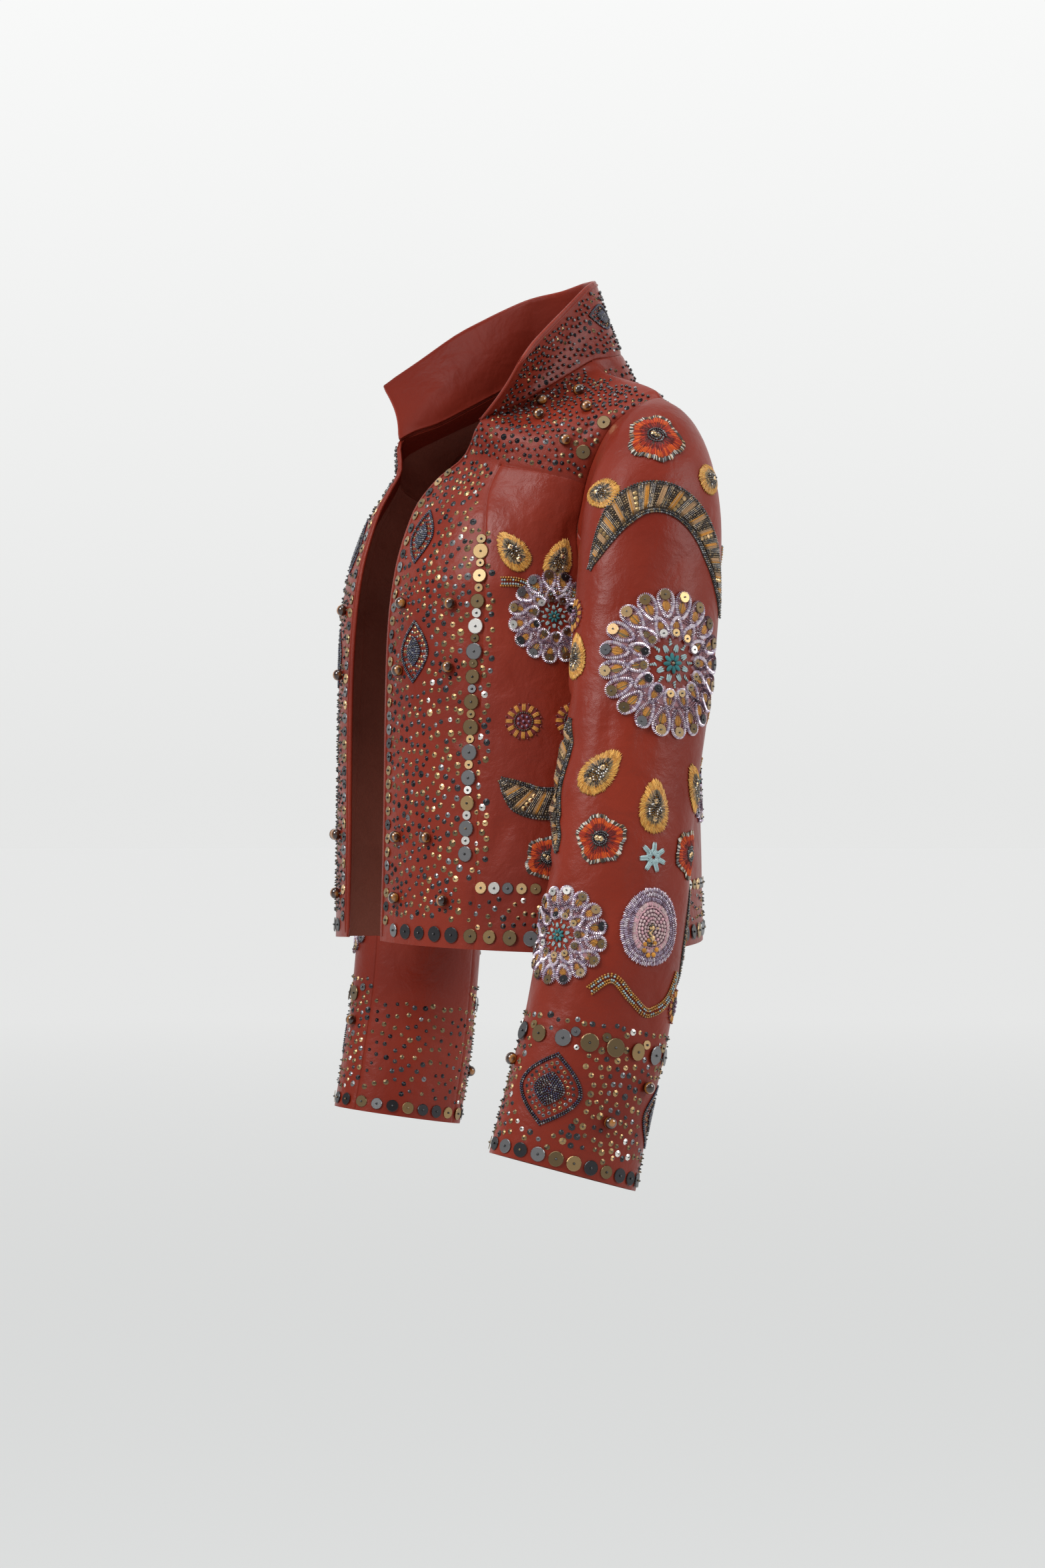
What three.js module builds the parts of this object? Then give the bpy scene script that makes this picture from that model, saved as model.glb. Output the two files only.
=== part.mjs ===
// An embroidered leather jacket, cropped and open at the front, with a stand collar and two-piece
// sleeves, in the hollow form that it has when it is worn. It has no wearer and nothing inside it.
//
// Frame: millimetres, +Z up, the front faces -Y and the wearer's left is +X. The origin is on the
// middle line at the height of the shoulder seams, where the jacket is carried.
//
// Every piece of leather is a wall on a grid of points. The grids of two pieces that are sewn
// together have the same points along their seam, so that the seam is even, and each piece is then
// taken back a little from it. Applique and large beads are raised in the outer points alone.
import * as THREE from 'three';

// ---- Driving dimensions ----
const LEATHER = 1.8; // thickness of the shell
const LINER = 1.2; // thickness of the facings inside it
const SEAM = 0.3; // between two pieces that meet in a smooth seam
const FOLDED_SEAM = 0.5; // at the armholes and the neck, where the two pieces meet in a fold
const LEFT = 1;
const RIGHT = -1;

// Columns and rows of the grids.
const QUARTER = 12; // columns from the front edge to the side, and along a shoulder seam
const NECK_HALF = 6; // columns from the middle of the back neck to the shoulder seam
const TOP = 22; // the body's rows, from the hem to the shoulder
const UNDERARM = 10; // the row where the side seam ends and the armhole starts
const NOTCH = 17; // the row where the front edge ends and the collar starts
const YOKE = 16; // the row of the front yoke seam
const PRINCESS = 6; // the column of the seam between front and side front
const FACING = 5; // columns that the front facing covers
const AROUND = 2 * (TOP - UNDERARM); // points round a sleeve, from the underarm by the front
const LENGTH = 34; // a sleeve's rows, from the armhole to the cuff
const UNDER_FROM = 4; // the under sleeve lies between these points round a sleeve
const UNDER_TO = 21;
const STAND = 5; // the collar's rows

// ---- The cut, as sections ----
// The left half of the body, from the hem up. Each row gives the point on the front edge or neck
// seam, on the armhole or side seam at its front and at its back, and on the middle of the back.
const SECTIONS = [
  { row: 0, edge: [41, -174, -479], front: [198, -26, -487], back: [198, -26, -487], spine: [0, 121, -475] },
  { row: 3, edge: [42, -172, -403], front: [191, -26, -405], back: [191, -26, -405], spine: [0, 119, -402] },
  { row: 6, edge: [43, -171, -325], front: [183, -24, -325], back: [183, -24, -325], spine: [0, 115, -325] },
  { row: 8, edge: [43, -170, -266], front: [176, -20, -262], back: [176, -20, -262], spine: [0, 111, -265] },
  { row: 10, edge: [42, -167, -207], front: [170, -14, -205], back: [170, -14, -205], spine: [0, 109, -208] },
  { row: 12, edge: [43, -159, -155], front: [165, -38, -189], back: [166, 18, -188], spine: [0, 111, -166] },
  { row: 14, edge: [47, -142, -107], front: [161, -45, -136], back: [163, 45, -153], spine: [0, 111, -123] },
  { row: 15, edge: [57, -127, -86], front: [163, -42, -115], back: [163, 54, -132], spine: [0, 110, -101] },
  { row: 16, edge: [77, -111, -68], front: [165, -39, -97], back: [165, 59, -111], spine: [0, 107, -80] },
  { row: 17, edge: [94, -105, -41], front: [168, -35, -81], back: [168, 60, -91], spine: [0, 103, -59] },
  { row: 19, edge: [92, -70, -25], front: [178, -20, -48], back: [176, 51, -58], spine: [0, 91, -18] },
  { row: 22, edge: [75, 7, 18], front: [190, 18, -26], back: [190, 18, -26], spine: [0, 58, 35] },
];
// full is how square each section is: 1 is a straight line and 2 an ellipse. princess is the share
// of the front that lies before its princess seam.
const CUT = [
  { row: 0, full: 1.95, princess: 0.49 },
  { row: 3, full: 2.03, princess: 0.5 },
  { row: 6, full: 2.1, princess: 0.505 },
  { row: 8, full: 2.2, princess: 0.505 },
  { row: 10, full: 2.4, princess: 0.505 },
  { row: 12, full: 2.45, princess: 0.56 },
  { row: 14, full: 2.05, princess: 0.53 },
  { row: 15, full: 1.75, princess: 0.45 },
  { row: 16, full: 1.6, princess: 0.37 },
  { row: 17, full: 1.45, princess: 0.37 },
  { row: 19, full: 1.25, princess: 0.43 },
  { row: 22, full: 1, princess: 0.5 },
];
const BODY = SECTIONS.map((section, k) => ({ ...section, ...CUT[k] }));

// A sleeve below its armhole. Each ring gives its point nearest the body and its outermost point,
// across and up, then how far back its middle is, half its width from front to back, and how far
// its front is tipped up, in degrees.
const LEFT_ARM = [
  { row: 1.5, near: [176, -212], far: [212, -30], back: 6, half: 55, tip: 0 },
  { row: 3, near: [181, -219], far: [236, -45], back: -1, half: 60, tip: 0 },
  { row: 5, near: [187, -231], far: [258, -78], back: -7, half: 62, tip: 1 },
  { row: 7, near: [191, -248], far: [270, -120], back: -12, half: 62, tip: 2 },
  { row: 10, near: [197, -282], far: [281, -190], back: -20, half: 62, tip: 3 },
  { row: 13, near: [202, -322], far: [291, -262], back: -30, half: 60, tip: 5 },
  { row: 17, near: [208, -374], far: [300, -346], back: -44, half: 59, tip: 7 },
  { row: 22, near: [213, -454], far: [308, -447], back: -56, half: 59, tip: 9 },
  { row: 27, near: [215, -540], far: [311, -540], back: -73, half: 59, tip: 11 },
  { row: 31, near: [214, -603], far: [309, -603], back: -89, half: 60, tip: 14 },
  { row: 34, near: [211, -657], far: [306, -657], back: -101, half: 62, tip: 16 },
];

// The right arm hangs a little higher and less far forward.
const RIGHT_ARM = [
  { row: 1.5, near: [176, -212], far: [212, -30], back: 6, half: 55, tip: 0 },
  { row: 3, near: [181, -219], far: [236, -45], back: 2, half: 58, tip: 0 },
  { row: 5, near: [187, -231], far: [258, -78], back: -3, half: 60, tip: 1 },
  { row: 7, near: [191, -248], far: [270, -120], back: -6, half: 60, tip: 2 },
  { row: 10, near: [197, -281], far: [281, -189], back: -9, half: 60, tip: 3 },
  { row: 13, near: [202, -320], far: [291, -260], back: -12, half: 60, tip: 4 },
  { row: 17, near: [208, -371], far: [300, -343], back: -14, half: 59, tip: 4 },
  { row: 22, near: [213, -449], far: [308, -442], back: -18, half: 59, tip: 4 },
  { row: 27, near: [215, -533], far: [311, -533], back: -24, half: 59, tip: 6 },
  { row: 31, near: [214, -599], far: [309, -599], back: -33, half: 60, tip: 8 },
  { row: 34, near: [211, -656], far: [306, -656], back: -44, half: 60, tip: 9 },
];

// The collar's top edge, from the middle of the back to the tips. column counts from the back, and
// right is given as if it were on the left: that side stands up and forward more. roll is how far
// the collar is hollowed towards the neck half-way up.
const COLLAR_TOP = [
  { column: 0, left: [0, 33, 94], right: [0, 33, 94], roll: 1 },
  { column: 3, left: [37, 27, 91], right: [37, 27, 91], roll: 1 },
  { column: 6, left: [65, 6, 81], right: [66, 5, 85], roll: 2 },
  { column: 8, left: [89, -25, 57], right: [90, -25, 69], roll: 5 },
  { column: 9, left: [105, -44, 43], right: [106, -46, 56], roll: 6 },
  { column: 10, left: [124, -68, 24], right: [126, -73, 34], roll: 6 },
  { column: 11, left: [145, -89, 5], right: [145, -100, 13], roll: 5 },
];

// Folds: the row and column of the middle of each, its half width over the rows and its half
// length over the columns, and its depth. A sleeve's columns are its points round it.
const SLEEVE_FOLDS = [
  { row: 12.6, column: 4.2, wide: 1.5, long: 2.8, deep: 3.2 },
  { row: 15.4, column: 6.4, wide: 1.3, long: 2.6, deep: 2.8 },
  { row: 18.8, column: 5.2, wide: 1.4, long: 2.9, deep: 3.2 },
  { row: 20.8, column: 4.4, wide: 1.2, long: 2.4, deep: 2.4 },
  { row: 10.6, column: 19.8, wide: 1.6, long: 2.6, deep: 2.8 },
  { row: 22, column: 19.4, wide: 1.5, long: 2.4, deep: 2.4 },
];
const FRONT_FOLDS = [
  { row: 10.8, column: 10.4, wide: 1.8, long: 1.4, deep: 3 },
  { row: 3.4, column: 10, wide: 3.4, long: 1.6, deep: 2.6 },
];
const BACK_FOLDS = [
  { row: 8, column: 13, wide: 5, long: 2, deep: 3.6 },
  { row: 9.4, column: 9, wide: 4, long: 1.8, deep: 2.8 },
  { row: 4, column: 4.4, wide: 4, long: 2, deep: 2.4 },
];

// ---- The applique and the large beads ----
// A round piece of applique: its middle and its size.
const SLEEVE_APPLIQUE = [
  { row: 12.4, column: 12.6, radius: 56, high: 2.2 },
  { row: 23.4, column: 7.6, radius: 40, high: 2.2 },
  { row: 22.6, column: 12.8, radius: 32, high: 2.2 },
  { row: 4.2, column: 11.4, radius: 23, high: 2 },
  { row: 19.3, column: 9.6, radius: 20, high: 2 },
  { row: 19.3, column: 15.4, radius: 20, high: 2 },
  { row: 17.9, column: 12.4, radius: 19, high: 2 },
  { row: 16.6, column: 9.2, radius: 19, high: 2 },
  { row: 16.6, column: 15.8, radius: 19, high: 2 },
];
const FRONT_APPLIQUE = [
  { row: 9.9, column: 9.1, radius: 38, high: 2.2 },
  { row: 2.9, column: 9.1, radius: 20, high: 2 },
  { row: 13, column: 7.8, radius: 19, high: 2 },
  { row: 13, column: 10.6, radius: 19, high: 2 },
];
const BACK_APPLIQUE = [
  { row: 13, column: 0, radius: 48, high: 2.2 },
  { row: 5.4, column: 8.6, radius: 38, high: 2.2 },
  { row: 12, column: 11.6, radius: 22, high: 2 },
  { row: 9, column: 14.6, radius: 22, high: 2 },
];

// A banded scroll: the row and column of each point along it.
const SCROLL_HALF = 13;
const SCROLL_HIGH = 2.2;
const SLEEVE_SCROLLS = [
  [[7.8, 7.4], [6.7, 9.4], [6.8, 12], [7.6, 14.6], [9.2, 16.8]],
  [[19.6, 19], [21.4, 17.6], [23.4, 17.4], [25.2, 18.6]],
  [[13.6, 6.6], [15.6, 5.6], [17.8, 5.6], [19.8, 6.6]],
];
const FRONT_SCROLLS = [
  [[5.4, 7], [4.7, 8.3], [4.7, 9.9], [5.4, 11.2]],
];
const BACK_SCROLLS = [
  [[9.6, 1], [8.6, 3.2], [8.4, 5.6], [9.6, 7.8], [11.8, 8.6]],
];

// Large round beads: the row and column of the cell that each is sewn to.
const BEAD_RADIUS = 5;
const BEAD_HIGH = 5.5;
const BEAD_SIDES = 8;
const FRONT_BEADS = [
  [20, 4], [19, 2], [19, 8], [18, 5], [17, 9],
  [10, 1], [10, 4], [8, 1], [8, 4], [3, 1], [3, 3], [1, 1], [1, 4],
];
const BACK_BEADS = [[20, 9], [19, 5], [18, 2]];
const SLEEVE_BEADS = [[29, 14], [31, 12], [29, 5], [31, 18]];

// ---- Curves and splines ----
const vector = (xyz) => new THREE.Vector3(...xyz);

// A value or a point through the rows of a table, as smooth as a drawn curve.
function through(table, key, at, pick) {
  const last = table.length - 1;
  let k = table.findIndex((entry) => entry[key] > at) - 1;
  if (k < 0) k = last - 1;
  const slope = (i) => {
    const a = table[Math.max(i - 1, 0)];
    const b = table[Math.min(i + 1, last)];
    return pick(b).clone().sub(pick(a)).divideScalar(b[key] - a[key]);
  };
  const start = table[k];
  const end = table[k + 1];
  const step = end[key] - start[key];
  const t = (at - start[key]) / step;
  return pick(start).clone().multiplyScalar(2 * t ** 3 - 3 * t ** 2 + 1)
    .addScaledVector(slope(k), (t ** 3 - 2 * t ** 2 + t) * step)
    .addScaledVector(pick(end), 3 * t ** 2 - 2 * t ** 3)
    .addScaledVector(slope(k + 1), (t ** 3 - t ** 2) * step);
}

// A quarter of a section, from the middle of the front or back round to the side.
class Quarter extends THREE.Curve {
  constructor(middle, side, full) {
    super();
    Object.assign(this, { middle, side, full });
  }

  getPoint(t, target = new THREE.Vector3()) {
    const turn = (t * Math.PI) / 2;
    const out = Math.sin(turn) ** (2 / this.full);
    const back = Math.cos(turn) ** (2 / this.full);
    return target.set(
      THREE.MathUtils.lerp(this.middle.x, this.side.x, out),
      THREE.MathUtils.lerp(this.side.y, this.middle.y, back),
      THREE.MathUtils.lerp(this.middle.z, this.side.z, t),
    );
  }
}

// Points along a quarter. Its first share is divided among the columns before a seam.
function quarter(middle, side, full, columns, seam = columns / 2, share = 0.5) {
  const curve = new Quarter(vector(middle), vector(side), full);
  return Array.from({ length: columns + 1 }, (_, column) => curve.getPointAt(
    column <= seam ? (share * column) / seam : 1 - ((1 - share) * (columns - column)) / (columns - seam),
  ));
}

// ---- The body's grids, for the left half ----
// Each returns rows of points, from the hem up.
function gridThrough(sections, columns) {
  return Array.from({ length: TOP + 1 }, (_, row) => (
    Array.from({ length: columns + 1 }, (__, column) => (
      through(sections, 'row', row, (section) => section.points[column])
    ))
  ));
}

function frontGrid() {
  return gridThrough(BODY.map(({ row, edge, front, full, princess }) => (
    { row, points: quarter(edge, front, full, QUARTER, PRINCESS, princess) }
  )), QUARTER);
}

// The back's top row follows the neck seam and then the shoulder seam.
function backGrid(front) {
  const neck = quarter(BODY.at(-1).spine, BODY.at(-1).edge, 2, NECK_HALF);
  const sections = BODY.map(({ row, spine, back, full }) => (
    { row, points: quarter(spine, back, full, NECK_HALF + QUARTER) }
  ));
  sections.at(-1).points = [...neck, ...front[TOP].slice(1)];
  const back = gridThrough(sections, NECK_HALF + QUARTER);
  for (let row = 0; row <= UNDERARM; row += 1) back[row][NECK_HALF + QUARTER] = front[row][QUARTER];
  return back;
}

// The armhole, from the underarm by the front to the shoulder and down the back.
function armhole(front, back) {
  const up = front.slice(UNDERARM).map((row) => row[QUARTER]);
  const down = back.slice(UNDERARM, TOP).map((row) => row[NECK_HALF + QUARTER]).reverse();
  return [...up, ...down.slice(0, -1)];
}

function sleeveRing({ row, near, far, back, half, tip }) {
  const middle = new THREE.Vector3((near[0] + far[0]) / 2, back, (near[1] + far[1]) / 2);
  const across = new THREE.Vector3((far[0] - near[0]) / 2, 0, (far[1] - near[1]) / 2);
  const tilt = THREE.MathUtils.degToRad(tip);
  const forward = new THREE.Vector3(0, -Math.cos(tilt), Math.sin(tilt)).multiplyScalar(half);
  const points = Array.from({ length: AROUND }, (_, k) => {
    const turn = (k / AROUND) * 2 * Math.PI;
    return middle.clone().addScaledVector(across, -Math.cos(turn)).addScaledVector(forward, Math.sin(turn));
  });
  return { row, points };
}

// Rows of points from the armhole to the cuff, with the first point again at the end of each.
function sleeveGrid(arm, hole) {
  const rings = [{ row: 0, points: hole }, ...arm.map(sleeveRing)];
  return Array.from({ length: LENGTH + 1 }, (_, row) => {
    const ring = hole.map((__, k) => through(rings, 'row', row, (r) => r.points[k]));
    return [...ring, ring[0]];
  });
}

function mirrored(grid) {
  return grid.map((row) => row.map((p) => new THREE.Vector3(-p.x, p.y, p.z)));
}

// The collar's columns run from the right notch round the back of the neck to the left notch.
function collarGrid(front, back) {
  const seam = [
    ...back[TOP].slice(0, NECK_HALF + 1),
    ...front.slice(NOTCH, TOP).map((row) => row[0]).reverse(),
  ];
  const half = (side) => seam.map((foot, column) => {
    const top = through(COLLAR_TOP, 'column', column, (entry) => vector(entry[side]));
    const roll = through(COLLAR_TOP, 'column', column, (entry) => new THREE.Vector3(entry.roll)).x;
    const neckward = new THREE.Vector3(-foot.x, -foot.y, 0).normalize();
    return Array.from({ length: STAND + 1 }, (_, row) => {
      const t = row / STAND;
      return foot.clone().lerp(top, t).addScaledVector(neckward, roll * Math.sin(Math.PI * t));
    });
  });
  const whole = [...mirrored(half('right')).slice(1).reverse(), ...half('left')];
  return Array.from({ length: STAND + 1 }, (_, row) => whole.map((column) => column[row]));
}

// ---- Folds ----
// A soft trough: 1 in its middle, 0 at its rim.
const soft = (distance) => (distance >= 1 ? 0 : (1 - distance ** 2) ** 2);

// Presses folds into a grid, each point towards the middle that middleOf gives for its row.
function pressFolds(grid, folds, middleOf) {
  const middles = grid.map(middleOf);
  grid.forEach((points, row) => points.forEach((point, column) => {
    const depth = folds.reduce((sum, fold) => (
      sum + fold.deep * soft(Math.hypot((row - fold.row) / fold.wide, (column - fold.column) / fold.long))
    ), 0);
    point.addScaledVector(middles[row].clone().sub(point).normalize(), depth);
  }));
}

const sleeveMiddle = (ring) => (
  ring.slice(1).reduce((sum, p) => sum.add(p), new THREE.Vector3()).divideScalar(ring.length - 1)
);
const bodyMiddle = (points) => new THREE.Vector3(0, -20, points[0].z);

// ---- Walls ----
// Pieces that share a point share the direction of their walls there.
const meeting = new Map();
const placeOf = (p) => [p.x, p.y, p.z].map((n) => n.toFixed(2)).join();

// turn is 1 where columns and then rows, by the right-hand rule, give the outward direction.
function shareDirections(grid, turn) {
  grid.slice(1).forEach((above, row) => above.slice(1).forEach((corner, column) => {
    const below = grid[row];
    const a = corner.clone().sub(below[column]);
    const b = above[column].clone().sub(below[column + 1]);
    const outward = a.cross(b).multiplyScalar(turn).normalize();
    for (const p of [corner, above[column], below[column], below[column + 1]]) {
      const place = placeOf(p);
      if (!meeting.has(place)) meeting.set(place, new THREE.Vector3());
      meeting.get(place).add(outward);
    }
  }));
}
const directionAt = (p) => meeting.get(placeOf(p)).clone().normalize();

// A closed wall over the cells of a grid that belong to the piece. outer and inner are how far its
// two faces are from the grid's points, relief gives the height added to an outer point, back how
// far a rim is taken back from its seam, and beads the cells that carry a large bead.
function wall(grid, turn, options) {
  const { has = () => true, outer, inner, relief = () => 0, back = () => SEAM / 2, beads = [] } = options;
  const rows = grid.length - 1;
  const columns = grid[0].length - 1;
  const inside = (row, column) => (
    row >= 0 && column >= 0 && row < rows && column < columns && has(row, column)
  );
  const index = new Map();
  const vertices = [];
  const triangles = [];

  function triangle(a, b, c) {
    if (turn > 0) triangles.push(a, b, c);
    else triangles.push(a, c, b);
  }

  // A face with four corners, always split from a to c.
  function face(a, b, c, d) {
    triangle(a, b, c);
    triangle(a, c, d);
  }

  // The two vertices of a wall at a point of the grid: the outer one, and then the inner one.
  function place(row, column) {
    const key = row * (columns + 1) + column;
    if (index.has(key)) return index.get(key);
    const p = grid[row][column];
    const direction = directionAt(p);
    const cells = [[row, column], [row, column - 1], [row - 1, column], [row - 1, column - 1]]
      .filter(([r, c]) => inside(r, c));
    const onRim = cells.length < 4;
    const point = p.clone();
    if (onRim) {
      const away = cells.reduce((sum, [r, c]) => (
        sum.add(grid[r][c]).add(grid[r + 1][c]).add(grid[r][c + 1]).add(grid[r + 1][c + 1])
      ), new THREE.Vector3()).divideScalar(4 * cells.length).sub(p);
      away.addScaledVector(direction, -away.dot(direction)).normalize();
      point.addScaledVector(away, back(row, column));
    }
    const high = outer + (onRim ? 0 : relief(p));
    index.set(key, vertices.length);
    vertices.push(point.clone().addScaledVector(direction, high));
    vertices.push(point.clone().addScaledVector(direction, -inner));
    return index.get(key);
  }

  // An outer face that rises to a round bead in its middle.
  function beadedFace(corners) {
    const [a, b, c, d] = corners.map((n) => vertices[n]);
    const middle = a.clone().add(b).add(c).add(d).divideScalar(4);
    const across = b.clone().add(c).sub(a).sub(d).normalize();
    const out = c.clone().sub(a).cross(d.clone().sub(b)).multiplyScalar(turn).normalize();
    const along = out.clone().cross(across).multiplyScalar(turn);
    const ring = (radius, high) => {
      const first = vertices.length;
      for (let k = 0; k < BEAD_SIDES; k += 1) {
        const angle = (2 * Math.PI * k) / BEAD_SIDES - (3 * Math.PI) / 4;
        vertices.push(middle.clone().addScaledVector(across, radius * Math.cos(angle))
          .addScaledVector(along, radius * Math.sin(angle)).addScaledVector(out, high));
      }
      return first;
    };
    const foot = ring(BEAD_RADIUS, 0);
    const girth = ring(BEAD_RADIUS * 0.86, BEAD_HIGH * 0.6);
    const top = vertices.push(middle.clone().addScaledVector(out, BEAD_HIGH)) - 1;
    for (let k = 0; k < BEAD_SIDES; k += 1) {
      const next = (k + 1) % BEAD_SIDES;
      const corner = corners[Math.floor(((k + 1) % BEAD_SIDES) / 2)];
      triangle(corner, foot + next, foot + k);
      face(foot + k, foot + next, girth + next, girth + k);
      triangle(girth + k, girth + next, top);
    }
    corners.forEach((corner, n) => {
      triangle(corner, corners[(n + 1) % 4], foot + 2 * n + 1);
    });
  }

  const beaded = new Set(beads.map((cell) => cell.join()));
  for (let row = 0; row < rows; row += 1) {
    for (let column = 0; column < columns; column += 1) {
      if (!inside(row, column)) continue;
      const corners = [[row, column], [row, column + 1], [row + 1, column + 1], [row + 1, column]]
        .map(([r, c]) => place(r, c));
      const [a, b, c, d] = corners.map((n) => n + 1);
      if (beaded.has(`${row},${column}`)) beadedFace(corners);
      else face(...corners);
      face(a, d, c, b);
      const beside = [[row - 1, column], [row, column + 1], [row + 1, column], [row, column - 1]];
      beside.forEach(([nextRow, nextColumn], side) => {
        if (inside(nextRow, nextColumn)) return;
        const from = corners[side];
        const to = corners[(side + 1) % 4];
        face(to, from, from + 1, to + 1);
      });
    }
  }
  const geometry = new THREE.BufferGeometry().setFromPoints(vertices);
  geometry.setIndex(triangles);
  geometry.computeVertexNormals();
  return geometry;
}

// ---- Relief ----
// A point of a grid between its rows and columns.
function between(grid, row, column) {
  const r = Math.min(Math.floor(row), grid.length - 2);
  const c = Math.min(Math.floor(column), grid[0].length - 2);
  const low = grid[r][c].clone().lerp(grid[r][c + 1], column - c);
  const high = grid[r + 1][c].clone().lerp(grid[r + 1][c + 1], column - c);
  return low.lerp(high, row - r);
}

// The height of the applique at a point of a grid.
function reliefOf(grid, applique, scrolls) {
  const discs = applique.map(({ row, column, radius, high }) => (
    { middle: between(grid, row, column), radius, high }
  ));
  const alongScrolls = scrolls.flatMap((points) => (
    new THREE.CatmullRomCurve3(points.map(([row, column]) => between(grid, row, column)))
      .getSpacedPoints(points.length * 6)
  ));
  return (point) => {
    const heights = discs.map(({ middle, radius, high }) => (
      point.distanceTo(middle) < radius ? high : 0
    ));
    const onScroll = alongScrolls.some((p) => p.distanceTo(point) < SCROLL_HALF);
    return Math.max(onScroll ? SCROLL_HIGH : 0, ...heights);
  };
}

// ---- Materials ----
const leather = (name, color, roughness) => {
  const material = new THREE.MeshStandardMaterial({ color, roughness, metalness: 0 });
  material.name = name;
  return material;
};
const shellLeather = leather('red_leather', 0x8f3222, 0.48);
const facingLeather = leather('facing_leather', 0x8a2c1d, 0.42);

// ---- The jacket ----
const jacket = new THREE.Group();
jacket.name = 'embroidered_leather_jacket';

function sew(name, material, geometry) {
  const mesh = new THREE.Mesh(geometry, material);
  mesh.name = name;
  jacket.add(mesh);
}

const HALF_WALL = LEATHER / 2;
const SHELL = { outer: HALF_WALL, inner: HALF_WALL };
const LINING_SIDE = { outer: -HALF_WALL - SEAM, inner: HALF_WALL + SEAM + LINER };

const front = frontGrid();
const back = backGrid(front);
pressFolds(front, FRONT_FOLDS, bodyMiddle);
pressFolds(back, BACK_FOLDS, bodyMiddle);
const hole = armhole(front, back);
const collar = collarGrid(front, back);
const sleeveFor = (arm) => {
  const sleeve = sleeveGrid(arm, hole);
  pressFolds(sleeve, SLEEVE_FOLDS, sleeveMiddle);
  return sleeve;
};
const arms = [
  { side: 'left', hand: LEFT, front, sleeve: sleeveFor(LEFT_ARM) },
  { side: 'right', hand: RIGHT, front: mirrored(front), sleeve: mirrored(sleeveFor(RIGHT_ARM)) },
];
const wholeBack = back.map((row, r) => [...mirrored(back)[r].slice(1).reverse(), ...row]);

for (const { hand, front: panel, sleeve } of arms) {
  shareDirections(panel, hand);
  shareDirections(sleeve, -hand);
}
shareDirections(wholeBack, -1);
shareDirections(collar, -1);

// How far the body's rims are taken back, along its armholes, its neck seam and elsewhere.
const bodyBack = (row, onArmhole, onNeck) => (
  (onArmhole && row >= UNDERARM) || onNeck ? FOLDED_SEAM / 2 : SEAM / 2
);
const foldedFoot = (row) => (row === 0 ? FOLDED_SEAM / 2 : SEAM / 2);
const isSideFront = (row, column) => row < YOKE && column >= PRINCESS;

for (const { side, hand, front: panel, sleeve } of arms) {
  const shell = {
    ...SHELL,
    beads: FRONT_BEADS,
    relief: reliefOf(panel, FRONT_APPLIQUE, FRONT_SCROLLS),
    back: (row, column) => bodyBack(row, column === QUARTER, column === 0 && row >= NOTCH),
  };
  sew(`front_${side}`, shellLeather, wall(panel, hand, {
    ...shell, has: (row, column) => !isSideFront(row, column),
  }));
  sew(`side_front_${side}`, shellLeather, wall(panel, hand, { ...shell, has: isSideFront }));
  sew(`front_facing_${side}`, facingLeather, wall(panel, hand, {
    ...LINING_SIDE, has: (row, column) => column < FACING,
  }));
  sew(`upper_sleeve_${side}`, shellLeather, wall(sleeve, -hand, {
    ...SHELL,
    beads: SLEEVE_BEADS,
    relief: reliefOf(sleeve, SLEEVE_APPLIQUE, SLEEVE_SCROLLS),
    back: foldedFoot,
    has: (row, column) => column >= UNDER_FROM && column < UNDER_TO,
  }));
  const under = sleeve.map((ring) => [...ring.slice(UNDER_TO), ...ring.slice(1, UNDER_FROM + 1)]);
  sew(`under_sleeve_${side}`, shellLeather, wall(under, -hand, { ...SHELL, back: foldedFoot }));
}

// The back's tables count columns from its middle, and serve both its halves.
const MIDDLE = NECK_HALF + QUARTER;
const bothHalves = (entries, mirror) => [...entries, ...entries.map(mirror)];
const backApplique = bothHalves(BACK_APPLIQUE, (piece) => ({ ...piece, column: -piece.column }))
  .map((piece) => ({ ...piece, column: MIDDLE + piece.column }));
const backScrolls = bothHalves(BACK_SCROLLS, (line) => line.map(([row, column]) => [row, -column]))
  .map((line) => line.map(([row, column]) => [row, MIDDLE + column]));
const backBeads = bothHalves(BACK_BEADS, ([row, column]) => [row, -1 - column])
  .map(([row, column]) => [row, MIDDLE + column]);
sew('back', shellLeather, wall(wholeBack, -1, {
  ...SHELL,
  beads: backBeads,
  relief: reliefOf(wholeBack, backApplique, backScrolls),
  back: (row, column) => {
    const from = Math.abs(column - MIDDLE);
    return bodyBack(row, from === MIDDLE, row === TOP && from <= NECK_HALF);
  },
}));
sew('collar', shellLeather, wall(collar, -1, { ...SHELL, back: foldedFoot }));
sew('collar_facing', facingLeather, wall(collar, -1, { ...LINING_SIDE, back: foldedFoot }));

export default jacket;
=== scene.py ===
# %% [markdown]
# # An embroidered leather jacket
#
# This lesson dresses a cropped red leather jacket. Its cut pieces come packed as solid walls, in
# one frame with +Z up and the front facing -Y. Here each wall gets a fine leather shell, and then
# beads, sequins and stitches are laid on it, thousands of them.
#
# Nearly everything below works in millimetres on the surface of a piece, as a beader does, and
# only turns to metres when a mesh is made.

# %% Load the frame
import math
from collections import namedtuple

import bmesh
import bpy
import numpy as np
from mathutils import Matrix


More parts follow.
